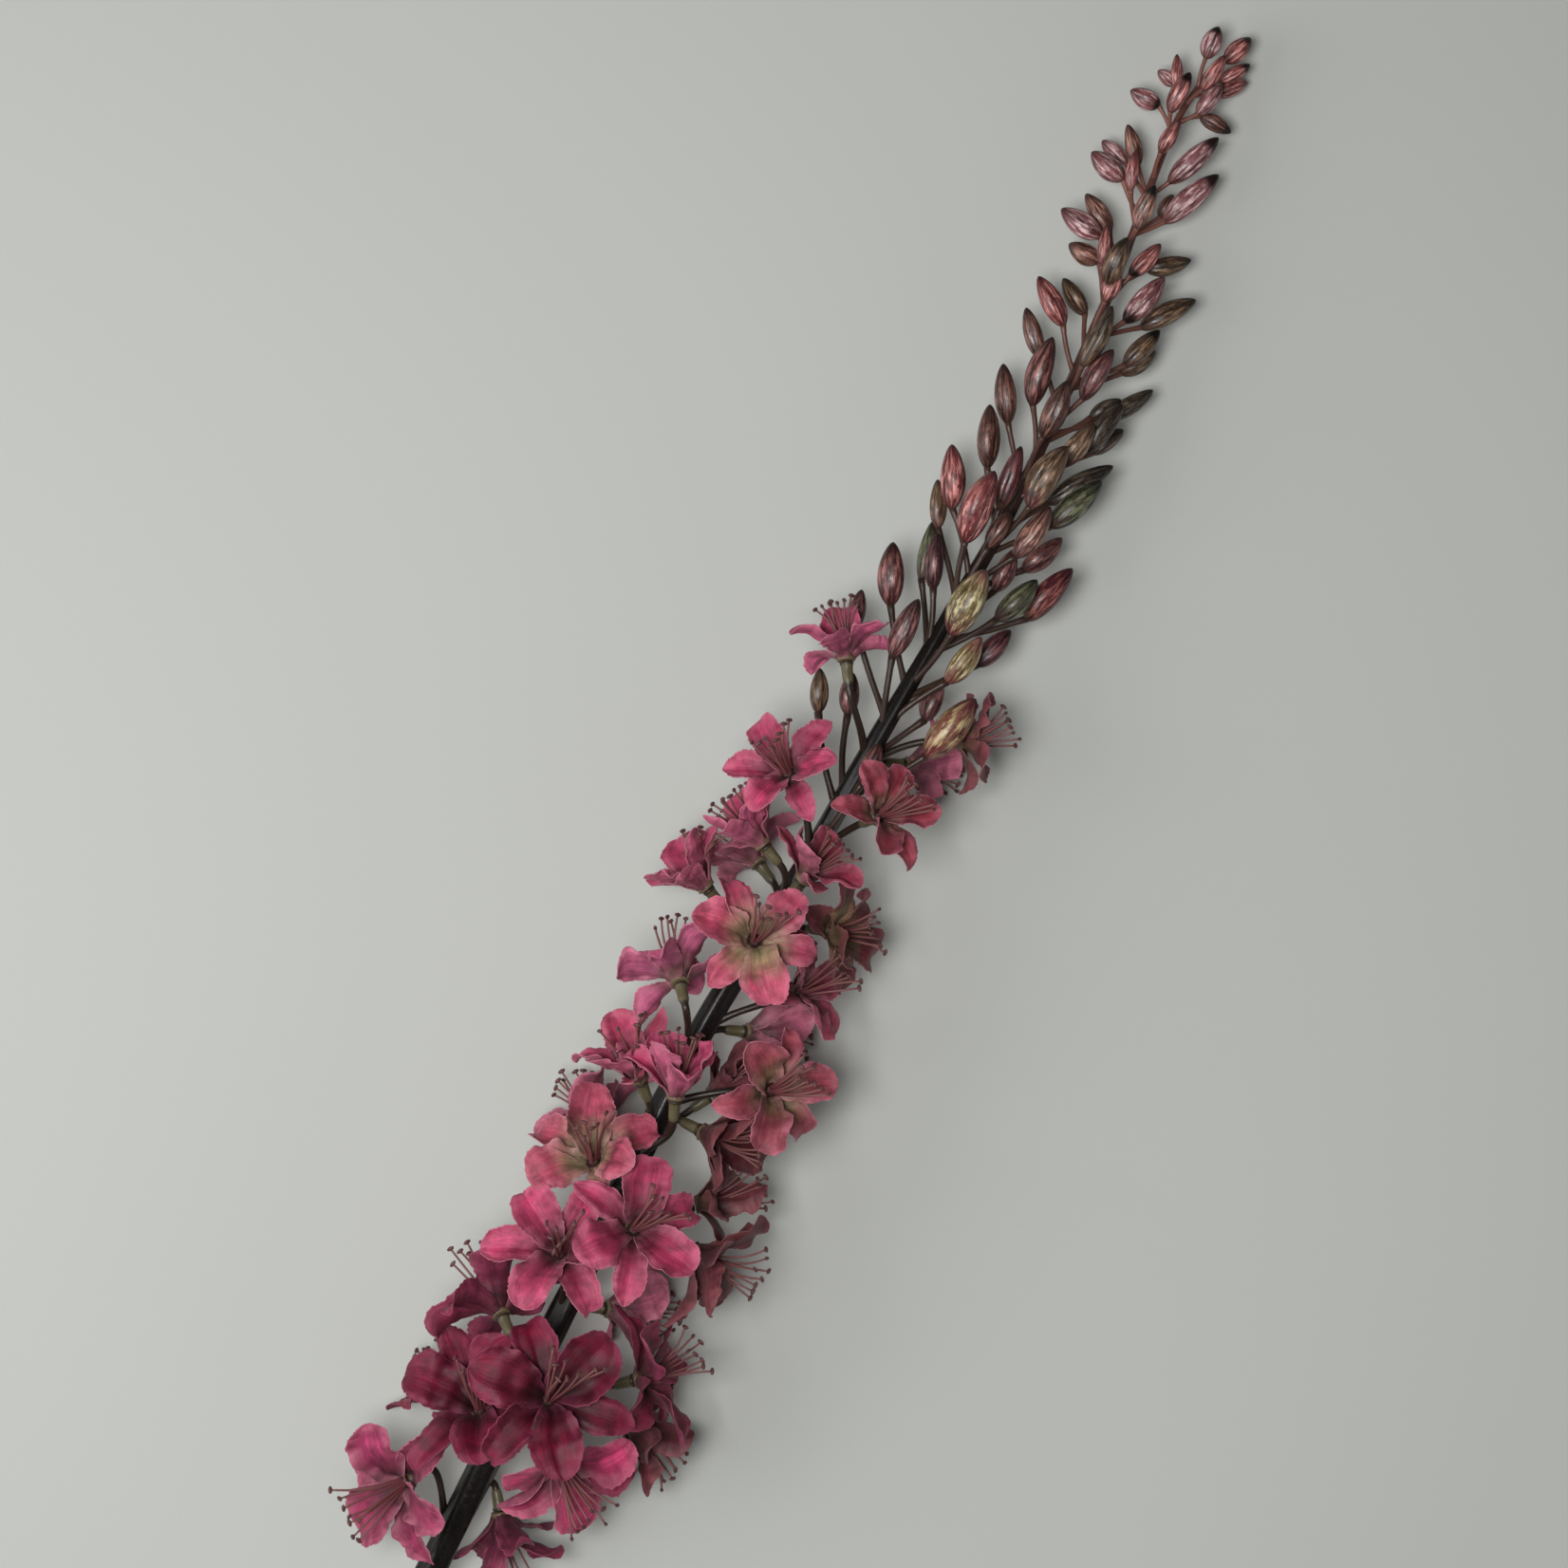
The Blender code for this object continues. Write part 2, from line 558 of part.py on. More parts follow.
def free_part(solid):
    """A petal's blade without its root, for its own bloom's stamens to keep clear of."""
    corners, faces = solid
    roots = {0, 1, len(corners) // 2, len(corners) // 2 + 1}
    return corners, [face for face in faces if not roots & set(face)]


def flower_solid(place, petals):
    """The boss and its petals in one sheet; petals holds the corners of each one, or None."""
    corners = [place.throat + place.turn @ corner for corner in boss_corners()]
    rings = len(boss_rings())
    foot = (rings - 1) * PETALS
    faces = [(0, k, k + 1) for k in range(1, PETALS - 1)]
    faces += [(foot, foot + k + 1, foot + k) for k in range(1, PETALS - 1)]
    for number, petal in enumerate(petals):
        after = (number + 1) % PETALS
        for ring in range(rings - 1):
            top, low = ring * PETALS, (ring + 1) * PETALS
            if petal is None or ring != petal_kind(number).ring:
                faces += [(top + number, low + number, low + after)]
                faces += [(top + number, low + after, top + after)]
                continue
            above = [top + number, top + after, *range(len(corners), len(corners) + len(petal[0]) - 2)]
            corners += petal[0][2:]
            below = [low + number, low + after, *range(len(corners), len(corners) + len(petal[1]) - 2)]
            corners += petal[1][2:]
            faces += petal_faces(petal_kind(number), above, below, False)
    return corners, faces


def stamen_solid(place, fan, bend, margin=0.0):
    """A stamen that leaves the throat along the bloom's axis and bends to its own direction."""
    side = place.stamens.cross(Vector((0, 0, 1))).normalized()
    direction = place.stamens.copy()
    direction.rotate(Matrix.Rotation(math.radians(fan[1] + bend.lift), 3, side))
    direction.rotate(Matrix.Rotation(math.radians(fan[0] + bend.swing), 3, "Z"))
    length = place.petal * STAMEN_LENGTH * bend.shrink
    apart = (side.cross(place.stamens) * fan[1] - side * fan[0]) * ROOT_SPREAD
    root = place.throat + apart - place.axis * apart.dot(place.axis)
    start = root - place.axis * SUNK
    knee = root + (place.axis + direction).normalized() * length * STAMEN_KNEE
    end = knee + direction * length * (1 - STAMEN_KNEE)
    deepest = end.z - KNOB_RADIUS
    for point in (knee, end):
        point.z = max(point.z, KNOB_RADIUS + margin)
    radii = [radius + margin for radius in (STAMEN_RADIUS, STAMEN_RADIUS, KNOB_RADIUS)]
    return ring_tube([start, knee, end], radii, 3), deepest


def boss_solid(place):
    """A bloom's boss alone, for other pieces to keep clear of."""
    ends = [place.throat - place.axis * BOSS_DEPTH, place.throat]
    return ring_tube(ends, [BOSS_RADIUS + PETAL_THICKNESS] * 2, PETALS)


class Crowd:
    """What is already in place, to test new pieces against."""

    def __init__(self):
        self.pieces = []

    def add(self, solid, owner):
        corners, faces = solid
        middle = sum(corners, Vector()) / len(corners)
        reach = max((corner - middle).length for corner in corners)
        self.pieces.append((BVHTree.FromPolygons(corners, faces), middle, reach, owner))

    def meets(self, solid, owner):
        corners, faces = solid
        middle = sum(corners, Vector()) / len(corners)
        reach = max((corner - middle).length for corner in corners)
        tree = None
        for other, other_middle, other_reach, other_owner in self.pieces:
            if other_owner == owner or (middle - other_middle).length > reach + other_reach:
                continue
            tree = tree or BVHTree.FromPolygons(corners, faces)
            if tree.overlap(other):
                return True
        return False


def bend_cost(bend):
    return abs(bend.lift) + SWING_COST * abs(bend.swing) + SHRINK_COST * (1 - bend.shrink)


def all_bends():
    """Every bend that a petal may take, the mildest first."""
    bends = [Bend(lift, swing, shrink) for shrink in SHRINKS for lift in LIFTS for swing in SWINGS]
    return sorted(bends, key=bend_cost)


def first_clear(make, crowd, own, owner, bends):
    """The mildest bend that keeps a piece clear of the crowd and of its own bloom's, or None."""
    for bend in bends:
        test, deepest = make(bend=bend, margin=CLEARANCE)
        if deepest > -DEEPEST_PRESS and not crowd.meets(test, owner):
            if not own.meets(test, None):
                return bend
    return None


def bloom_solids(place, index, crowd, bends):
    """The pieces of a bloom, its petals and stamens bent clear of all that is in place."""
    petals, stamens = [None] * PETALS, []
    own_petals, own_blades = Crowd(), Crowd()
    for number in sorted(range(PETALS), key=lambda k: k % 2):
        luck = random.Random(PETAL_SEED * index + number)
        longer, wider, closed, turn = (luck.uniform(-1, 1) for _ in Draw._fields)
        draw = Draw(1 + LENGTH_SPREAD * longer, 1 + WIDTH_SPREAD * wider,
                    ANGLE_SPREAD * closed, ANGLE_SPREAD * turn)
        make = partial(petal_solid, place, number, draw=draw)
        bend = first_clear(make, crowd, own_petals, index, bends)
        if bend:
            petals[number] = petal_corners(place, number, bend, draw)
            solid = petal_solid(place, number, bend, draw)[0]
            crowd.add(solid, index)
            own_petals.add(solid, index)
            own_blades.add(free_part(solid), index)
    for fan in STAMEN_FANS:
        bend = first_clear(partial(stamen_solid, place, fan), crowd, own_blades, index, bends)
        if bend:
            stamens.append(stamen_solid(place, fan, bend)[0])
    for stamen in stamens:
        crowd.add(stamen, index)
    return [flower_solid(place, petals), *stamens]


def material(name, colour, roughness):
    made = bpy.data.materials.new(name)
    made.use_nodes = True
    shader = made.node_tree.nodes["Principled BSDF"]
    shader.inputs["Base Color"].default_value = colour
    shader.inputs["Roughness"].default_value = roughness
    return made


def solid_object(name, solid):
    mesh = bpy.data.meshes.new(name)
    mesh.from_pydata(solid[0], [], solid[1])
    made = bpy.data.objects.new(name, mesh)
    bpy.context.scene.collection.objects.link(made)
    return made


def fused(name, solids, shift, finish):
    """Makes one body from solids that run into each other, moved by shift."""
    body = solid_object(name, solids[0])
    joined = bpy.data.collections.new(name + "_pieces")
    bpy.context.scene.collection.children.link(joined)
    for k, solid in enumerate(solids[1:]):
        piece = solid_object(f"{name}_piece_{k}", solid)
        bpy.context.scene.collection.objects.unlink(piece)
        joined.objects.link(piece)
    union = body.modifiers.new("join", "BOOLEAN")
    union.operation = "UNION"
    union.operand_type = "COLLECTION"
    union.collection = joined
    union.solver = "MANIFOLD"
    graph = bpy.context.evaluated_depsgraph_get()
    mesh = bpy.data.meshes.new_from_object(body.evaluated_get(graph))
    body.modifiers.clear()
    body.data = mesh
    for piece in list(joined.objects):
        bpy.data.objects.remove(piece)
    bpy.data.collections.remove(joined)
    mesh.transform(Matrix.Translation(shift))
    mesh.materials.clear()
    mesh.materials.append(finish)


def build():
    for old in list(bpy.data.objects):
        bpy.data.objects.remove(old)
    places = bloom_places()
    crowd = Crowd()
    stem_solids = [stem_solid()]
    for place in places:
        stem_solids.append(stalk_solid(place))
    for bud in BUDS:
        stem_solids.append(bud_solid(bud))
    for solid in stem_solids:
        crowd.add(solid, "stem")
    for index, place in enumerate(places):
        crowd.add(boss_solid(place), index)
    bends = all_bends()
    blooms = [bloom_solids(place, i, crowd, bends) for i, place in enumerate(places)]

    corners = [corner for solids in [stem_solids, *blooms] for solid in solids for corner in solid[0]]
    low = Vector(min(corner[axis] for corner in corners) for axis in range(3))
    high = Vector(max(corner[axis] for corner in corners) for axis in range(3))
    shift = Vector((-(low.x + high.x) / 2, -(low.y + high.y) / 2, -low.z))
    fused("stem_with_buds", stem_solids, shift, material("moulded_stem", STEM_COLOUR, STEM_ROUGHNESS))
    finishes = {}
    for name, colour in PETAL_COLOURS.items():
        finishes[name] = material(f"petals_{name}", colour, PETAL_ROUGHNESS)
    for index, (place, solids) in enumerate(zip(places, blooms)):
        fused(f"bloom_{index + 1:02d}", solids, shift, finishes[place.colour])


build()
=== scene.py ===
# Foxtail lily flower spike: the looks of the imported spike, petal by petal and bud by bud.
# Metres, +Z up, +X from the cut end towards the tip.
import math
import random
from collections import namedtuple

import bpy
import numpy as np
from mathutils import Matrix, Vector
from mathutils.kdtree import KDTree


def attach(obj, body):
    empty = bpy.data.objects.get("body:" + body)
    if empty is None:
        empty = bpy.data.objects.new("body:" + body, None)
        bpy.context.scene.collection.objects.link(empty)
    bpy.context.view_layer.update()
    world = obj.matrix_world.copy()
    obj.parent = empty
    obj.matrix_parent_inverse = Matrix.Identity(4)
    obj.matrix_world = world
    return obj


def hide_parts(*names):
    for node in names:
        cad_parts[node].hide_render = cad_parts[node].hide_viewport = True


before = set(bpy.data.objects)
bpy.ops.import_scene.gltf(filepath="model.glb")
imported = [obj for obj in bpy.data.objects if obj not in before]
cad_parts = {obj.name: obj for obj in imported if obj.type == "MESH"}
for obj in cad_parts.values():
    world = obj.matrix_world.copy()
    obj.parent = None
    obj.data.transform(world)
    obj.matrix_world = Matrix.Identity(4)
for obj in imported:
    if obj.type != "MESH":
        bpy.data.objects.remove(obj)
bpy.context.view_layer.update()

mm = 0.001


def linear(hexColour):
    # sRGB hex to linear light, with alpha
    parts = [int(hexColour[i:i + 2], 16) / 255 for i in (1, 3, 5)]
    light = [p / 12.92 if p <= 0.04045 else ((p + 0.055) / 1.055) ** 2.4 for p in parts]
    return np.array([*light, 1.0])


def lerp(a, b, share):
    return a + (b - a) * share


def smooth(low, high, x):
    # 0 below low, 1 above high, eased between them
    t = np.clip((x - low) / (high - low), 0, 1)
    return t * t * (3 - 2 * t)


def addNode(tree, kind, settings={}, inputs={}):
    # A node with its settings and its inputs, each a value or the socket that feeds it
    node = tree.nodes.new(kind)
    for name, value in settings.items():
        setattr(node, name, value)
    for name, value in inputs.items():
        if isinstance(value, bpy.types.NodeSocket):
            tree.links.new(value, node.inputs[name])
        else:
            node.inputs[name].default_value = value
    return node


# Where the photograph puts things
photo = {
    "side": 1652,             # pixels, square
    "pixel": 0.27 * mm,       # real size of one at eyeLevel
    "foot": (462, 1640),      # two points that the spike's X axis runs through
    "top": (1290, 50),
    "eyeLevel": 32 * mm,
    "eyeDistance": 1050 * mm,
}


def photoAxes():
    # The spike's X and Y as shares of the photograph's right and up
    right = photo["top"][0] - photo["foot"][0]
    up = photo["foot"][1] - photo["top"][1]
    length = math.hypot(right, up)
    return (right / length, up / length), (-up / length, right / length)


def fromView(right, up, out):
    # A vector right, up and out of the photograph, in the spike's axes
    along, across = photoAxes()
    return Vector((right * along[0] + up * along[1], right * across[0] + up * across[1], out))


def fromPhoto(pixel, height):
    middle = photo["side"] / 2
    near = (photo["eyeDistance"] - (height - photo["eyeLevel"])) / photo["eyeDistance"]
    right = (pixel[0] - middle) * near + middle - photo["foot"][0]
    up = (middle - pixel[1]) * near + photo["foot"][1] - middle
    return fromView(right * photo["pixel"], up * photo["pixel"], height)


def photoDirection(heading, rise):
    # Degrees from the photograph's right, and out of it
    heading, rise = math.radians(heading), math.radians(rise)
    return fromView(math.cos(heading) * math.cos(rise), math.sin(heading) * math.cos(rise), math.sin(rise))


# The stem: its middle as along, across and above the surface, and its radius
stem = {
    "knots": [
        (-130 * mm, -4.0 * mm, 4.2 * mm),
        (-112 * mm, -3.6 * mm, 4.2 * mm),
        (0 * mm, 0.0 * mm, 25.0 * mm),
        (80 * mm, 1.2 * mm, 33.0 * mm),
        (165 * mm, 2.6 * mm, 34.0 * mm),
        (219 * mm, -1.5 * mm, 32.0 * mm),
        (265 * mm, -3.2 * mm, 29.5 * mm),
        (304 * mm, -5.4 * mm, 26.5 * mm),
        (345 * mm, -7.0 * mm, 22.5 * mm),
        (410 * mm, -3.6 * mm, 16.5 * mm),
        (462 * mm, 2.1 * mm, 12.0 * mm),
        (480 * mm, 0.6 * mm, 11.0 * mm),
    ],
    "radii": [
        (-130 * mm, 4.7 * mm),
        (0 * mm, 4.6 * mm),
        (165 * mm, 3.9 * mm),
        (265 * mm, 2.9 * mm),
        (345 * mm, 2.0 * mm),
        (480 * mm, 0.9 * mm),
    ],
    "sides": 40,
    "step": 2.5 * mm,
    "ribs": 5,            # low ribs that twist slowly up the stem
    "ribDepth": 0.06,
    "ribTwist": 7.0,      # radians a metre
    "wobble": 0.035,
    "wobbleTwist": 90,    # radians a metre
    "seed": 5,
    "skin": "#15110F",
    "young": "#643E36",   # towards the tip
    "oldSkinX": 290 * mm,
}


def fromTable(table, x):
    for (x0, v0), (x1, v1) in zip(table, table[1:]):
        if x <= x1:
            return lerp(v0, v1, max(0.0, (x - x0) / (x1 - x0)))
    return table[-1][1]


def stemAt(x):
    knots = stem["knots"]
    last = len(knots) - 1
    i = next((k for k in range(last) if x <= knots[k + 1][0]), last - 1)
    before, after = knots[max(i - 1, 0)], knots[min(i + 2, last)]
    here, there = knots[i], knots[i + 1]
    span = there[0] - here[0]
    t = (x - here[0]) / span
    point = [x]
    for axis in (1, 2):
        slopeHere = (there[axis] - before[axis]) / (there[0] - before[0]) * span
        slopeThere = (after[axis] - here[axis]) / (after[0] - here[0]) * span
        start = (2 * t**3 - 3 * t**2 + 1) * here[axis] + (t**3 - 2 * t**2 + t) * slopeHere
        end = (3 * t**2 - 2 * t**3) * there[axis] + (t**3 - t**2) * slopeThere
        point.append(start + end)
    return Vector(point)


def stemDirection(x):
    return (stemAt(x + mm) - stemAt(x - mm)).normalized()


def frameShift():
    # From the spike's own coordinates to the frame's: the cut end shows it
    corners = [corner.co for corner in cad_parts["stem_with_buds"].data.vertices]
    end = min(corner.x for corner in corners)
    cut = [corner for corner in corners if corner.x < end + 0.01 * mm]
    foot = Vector(stem["knots"][0])
    return Vector((end - foot.x, sum(corner.y for corner in cut) / len(cut) - foot.y, 0))


shift = frameShift()

# The blooms. One row each for those that the photograph shows: throat pixel; height over the stem's
# middle in mm; where it looks and where its stamens point, as degrees from the photograph's right
# and out of it; turn about its own axis; how far closed; size; the slot of its cloth; and its dye,
# throat dye, and how far the throat dye runs
Bloom = namedtuple("Bloom", "pixel above looks stamens spin closed size slot dye throat reach")
shownBlooms = [
    Bloom((795, 991), 25, (60, 72), (66, 40), 17, 0, 1.05, "pink", "#B1455F", "#B4A87A", 0.66),
    Bloom((578, 1475), 25, (60, 68), (62, 38), 12, 0, 1.12, "crimson", "#670827", "#300C12", 0.34),
    Bloom((668, 1295), 23, (50, 70), (45, 35), 60, 0, 1.0, "pink", "#AA355A", "#6E2A36", 0.34),
    Bloom((590, 1320), 23, (100, 66), (80, 60), 50, 4, 1.0, "pink", "#B13D61", "#743440", 0.36),
    Bloom((830, 814), 17, (125, 60), (118, 30), 20, 4, 1.0, "pink", "#B1395E", "#7A3A3C", 0.36),
    Bloom((812, 1149), 13, (5, 58), (32, 30), 35, 0, 1.0, "pink", "#92404C", "#8C7E54", 0.62),
    Bloom((927, 859), 14, (25, 50), (38, 25), 5, 4, 1.0, "pink", "#953946", "#86724A", 0.52),
    Bloom((715, 1030), 18, (105, -38), (95, -20), 20, -4, 1.0, "pink", "#B44670", "#946C5A", 0.36),
    Bloom((712, 1150), 22, (85, 16), (85, 10), 45, 34, 0.95, "pink", "#BC406B", "#8A4A4C", 0.36),
    Bloom((625, 1223), 15, (100, 58), (95, 40), 20, 0, 1.0, "pink", "#AB455C", "#B0A67A", 0.62),
    Bloom((891, 689), 8, (95, -14), (108, 0), 10, 4, 1.05, "pink", "#BC3B6B", "#984E54", 0.36),
    Bloom((672, 1132), 13, (110, 22), (100, 30), 40, 30, 1.0, "pink", "#B13B5D", "#844646", 0.36),
    Bloom((526, 1380), 13, (120, -34), (120, -15), 8, -6, 1.0, "crimson", "#7A0C32", "#642E30", 0.34),
    Bloom((505, 1485), 13, (105, 50), (85, 40), 88, 4, 1.1, "crimson", "#710C30", "#4A2024", 0.36),
    Bloom((427, 1562), 9, (205, 48), (212, 25), 50, 0, 1.0, "pink", "#9F355C", "#623034", 0.36),
    Bloom((677, 1452), 3, (15, 12), (38, 15), 50, -6, 1.0, "crimson", "#7A1537", "#6E503C", 0.40),
    Bloom((842, 1045), 7, (20, 22), (35, 20), 30, 4, 1.0, "pink", "#95354C", "#786440", 0.40),
    # Here and below, the dusty dyes are darker than the cloth's own colour: painted shade for the blooms on
    # the shaded side of the spike
    Bloom((877, 981), 3, (-5, 35), (10, 30), 10, 4, 1.0, "dusty", "#53171F", "#7E7246", 0.66),
    Bloom((1016, 781), 2, (0, 5), (30, 10), 20, 0, 1.0, "dusty", "#531920", "#7A6444", 0.40),
    Bloom((740, 930), 4, (130, 10), (82, 16), 20, 28, 1.0, "pink", "#B1395F", "#844646", 0.36),
    Bloom((800, 885), 14, (130, 4), (130, 4), 5, 34, 1.0, "pink", "#BC3B69", "#905050", 0.36),
    Bloom((850, 922), 13, (50, 24), (44, 20), 44, 14, 0.95, "pink", "#922F46", "#72583C", 0.34),
    Bloom((745, 1195), 6, (-25, 22), (0, 22), 30, 20, 1.0, "dusty", "#54111C", "#6E503C", 0.30),
    Bloom((735, 1320), 2, (-35, 8), (-8, 12), 8, 12, 1.05, "dusty", "#541620", "#785C42", 0.34),
    Bloom((740, 1268), -6, (10, -4), (25, 0), 30, 16, 1.0, "dusty", "#541620", "#785C42", 0.34),
    Bloom((590, 1540), 5, (-62, 46), (-50, 20), 12, 0, 1.05, "pink", "#AE355F", "#54202A", 0.36),
    Bloom((665, 1503), -9, (-30, -8), (-50, 0), 30, 16, 0.9, "dusty", "#4A1119", "#6A4C3C", 0.34),
    Bloom((528, 1600), -6, (-80, 0), (-80, 0), 10, 20, 0.9, "crimson", "#660C2E", "#421A20", 0.36),
    Bloom((755, 1150), -6, (35, -4), (35, 0), 25, 30, 0.9, "dusty", "#4E111C", "#6E503C", 0.34),
]

# Blooms on the underside take turns left and right
hiddenBlooms = {
    "count": 6,
    "zone": (38 * mm, 262 * mm),
    "side": 13 * mm,
    "drop": 18 * mm,
    "headings": (128, -8),
    "rise": -22,
    "closed": 12,
    "size": 1.0,
    "spin": 63,
    "crimsonBelow": 75 * mm,
    "dyes": ("#7E2038", "#983450"),
    "throat": "#6E503C",
    "reach": 0.3,
}

# Six pressed petals a bloom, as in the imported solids: broad ones on the upper edge of the boss and
# narrow ones below them. The tip rows of the solids show how far each was bent
petal = {
    "count": 6,
    "footLength": 23 * mm,
    "topLength": 15.5 * mm,
    "topBloomX": 281 * mm,
    "solid": 0.7 * mm,
    "rootAngle": 56,
    "tipAngle": -16,
    "cupRoot": 0.6,
    "cupTip": 1.8,
    "courseSteps": 20,
    "liftSettled": 0.2,
    "bossRadius": 2.3 * mm,
    "bossDepth": 2.1 * mm,
    "spreads": (0.07, 0.1, 5),
    "seed": 1000,
    "lifts": (0, -10, 10, -20, 20, 32, 44, 56, 68),
    "swings": (0, 11, -11),
    "shrinks": (1.0, 0.8, 0.62),
    "same": 0.02 * mm,
}
broad = {
    "ring": 0, "halfWidth": 0.34, "length": 1.0, "opened": 0, "tipSwell": 0.4, "camber": 0.2,
    "fullest": 1.42, "roundness": 0.50,      # outline: sin(pi * u ** fullest) ** roundness
    "cup": (0.3, 1.1), "rootCup": 1.0, "tipCurl": (-40, 46), "roll": (-0.42, 0.26),
}
narrow = {
    "ring": 2, "halfWidth": 0.25, "length": 1.04, "opened": -14, "tipSwell": 0.2, "camber": 0.0,
    "fullest": 1.25, "roundness": 0.62,
    "cup": (0.25, 1.2), "rootCup": 1.1, "tipCurl": (-60, 40), "roll": (-0.4, 0.4),
}
Bend = namedtuple("Bend", "lift swing shrink")
Draw = namedtuple("Draw", "length width closed turn")
Place = namedtuple("Place", "throat axis turn stamens closed petal slot dye throatDye reach")


def facing(axis, spin):
    return axis.to_track_quat("Z", "Y").to_matrix() @ Matrix.Rotation(spin, 3, "Z")


def petalLength(x):
    return lerp(petal["footLength"], petal["topLength"], max(0.0, min(1.0, x / petal["topBloomX"])))


def bloomPlaces():
    places = []
    for bloom in shownBlooms:
        level = fromPhoto(bloom.pixel, photo["eyeLevel"])
        throat = fromPhoto(bloom.pixel, stemAt(level.x).z + bloom.above * mm)
        axis = photoDirection(*bloom.looks)
        turn = facing(axis, math.radians(bloom.spin))
        length = petalLength(throat.x) * bloom.size
        places.append(Place(throat, axis, turn, photoDirection(*bloom.stamens), bloom.closed, length,
                            bloom.slot, bloom.dye, bloom.throat, bloom.reach))
    under = hiddenBlooms
    for i in range(under["count"]):
        x = lerp(*under["zone"], i / (under["count"] - 1))
        throat = stemAt(x) + Vector((0, under["side"] * (1 - 2 * (i % 2)), -under["drop"]))
        axis = photoDirection(under["headings"][i % 2], under["rise"])
        turn = facing(axis, math.radians(i * under["spin"]))
        length = petalLength(x) * under["size"]
        crimson = x < under["crimsonBelow"]
        slot, dye = ("crimson", under["dyes"][0]) if crimson else ("pink", under["dyes"][1])
        places.append(Place(throat, axis, turn, axis, under["closed"], length,
                            slot, dye, under["throat"], under["reach"]))
    return places


def petalKind(number):
    return narrow if number % 2 else broad


def bossEdge(kind):
    # Height of the upper edge of a petal's root
    if kind["ring"] == 0:
        return 0.0
    return math.cos(math.radians(petal["rootAngle"])) * petal["solid"] - petal["bossDepth"]


def petalDraw(index, number):
    luck = random.Random(petal["seed"] * index + number)
    longer, wider, closed, turn = (luck.uniform(-1, 1) for _ in Draw._fields)
    lengthSpread, widthSpread, angleSpread = petal["spreads"]
    return Draw(1 + lengthSpread * longer, 1 + widthSpread * wider,
                angleSpread * closed, angleSpread * turn)


def petalAngle(kind, place, draw, bend, share):
    # Degrees between the petal's middle line and the plane of the bloom, from root to tip
    closed = place.closed + kind["opened"] + draw.closed
    root = petal["rootAngle"] + closed * petal["cupRoot"]
    tip = petal["tipAngle"] + closed * petal["cupTip"]
    return lerp(root, tip, share) + bend.lift * np.minimum(1, share / petal["liftSettled"])


def petalAxes(number, draw, bend):
    # Outwards from the middle of the bloom, and sideways
    turned = math.tau * number / petal["count"] + math.radians(bend.swing + draw.turn)
    cosine, sine = math.cos(turned), math.sin(turned)
    return Vector((cosine, sine, 0)), Vector((-sine, cosine, 0))


def rootRadius():
    # Where a petal leaves the boss
    return petal["bossRadius"] * math.cos(math.pi / petal["count"])


def solidTip(place, number, draw, bend):
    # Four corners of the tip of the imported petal, were it bent that way
    kind = petalKind(number)
    length = place.petal * kind["length"] * bend.shrink * draw.length
    reach = place.petal * kind["halfWidth"] * bend.shrink * draw.width * kind["tipSwell"]
    share = np.arange(petal["courseSteps"] + 1) / petal["courseSteps"]
    angle = np.radians(petalAngle(kind, place, draw, bend, share))
    radius = rootRadius() + np.cos(angle[:-1]).sum() * length / petal["courseSteps"]
    height = bossEdge(kind) + np.sin(angle[:-1]).sum() * length / petal["courseSteps"]
    outward, sideways = petalAxes(number, draw, bend)
    normal = outward * -math.sin(angle[-1]) + Vector((0, 0, math.cos(angle[-1])))
    corners = []
    for side in (-1, 1):
        middle = outward * radius + Vector((0, 0, height)) + sideways * side * reach
        pair = [place.throat + place.turn @ (middle + normal * (kind["camber"] * reach - drop))
                for drop in (0, petal["solid"])]
        low, high = sorted(pair, key=lambda point: point.z)
        low.z = max(low.z, 0.0)
        high.z = max(high.z, petal["solid"])
        corners += [low, high]
    return corners


def nodeCorners(name):
    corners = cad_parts[name].data.vertices
    tree = KDTree(len(corners))
    for k, corner in enumerate(corners):
        tree.insert(corner.co - shift, k)
    tree.balance()
    return tree


def petalBend(place, number, draw, corners):
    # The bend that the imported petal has, or None where it has no petal there
    for shrink in petal["shrinks"]:
        for lift in petal["lifts"]:
            for swing in petal["swings"]:
                bend = Bend(lift, swing, shrink)
                if all(corners.find(c)[2] < petal["same"] for c in solidTip(place, number, draw, bend)):
                    return bend
    return None


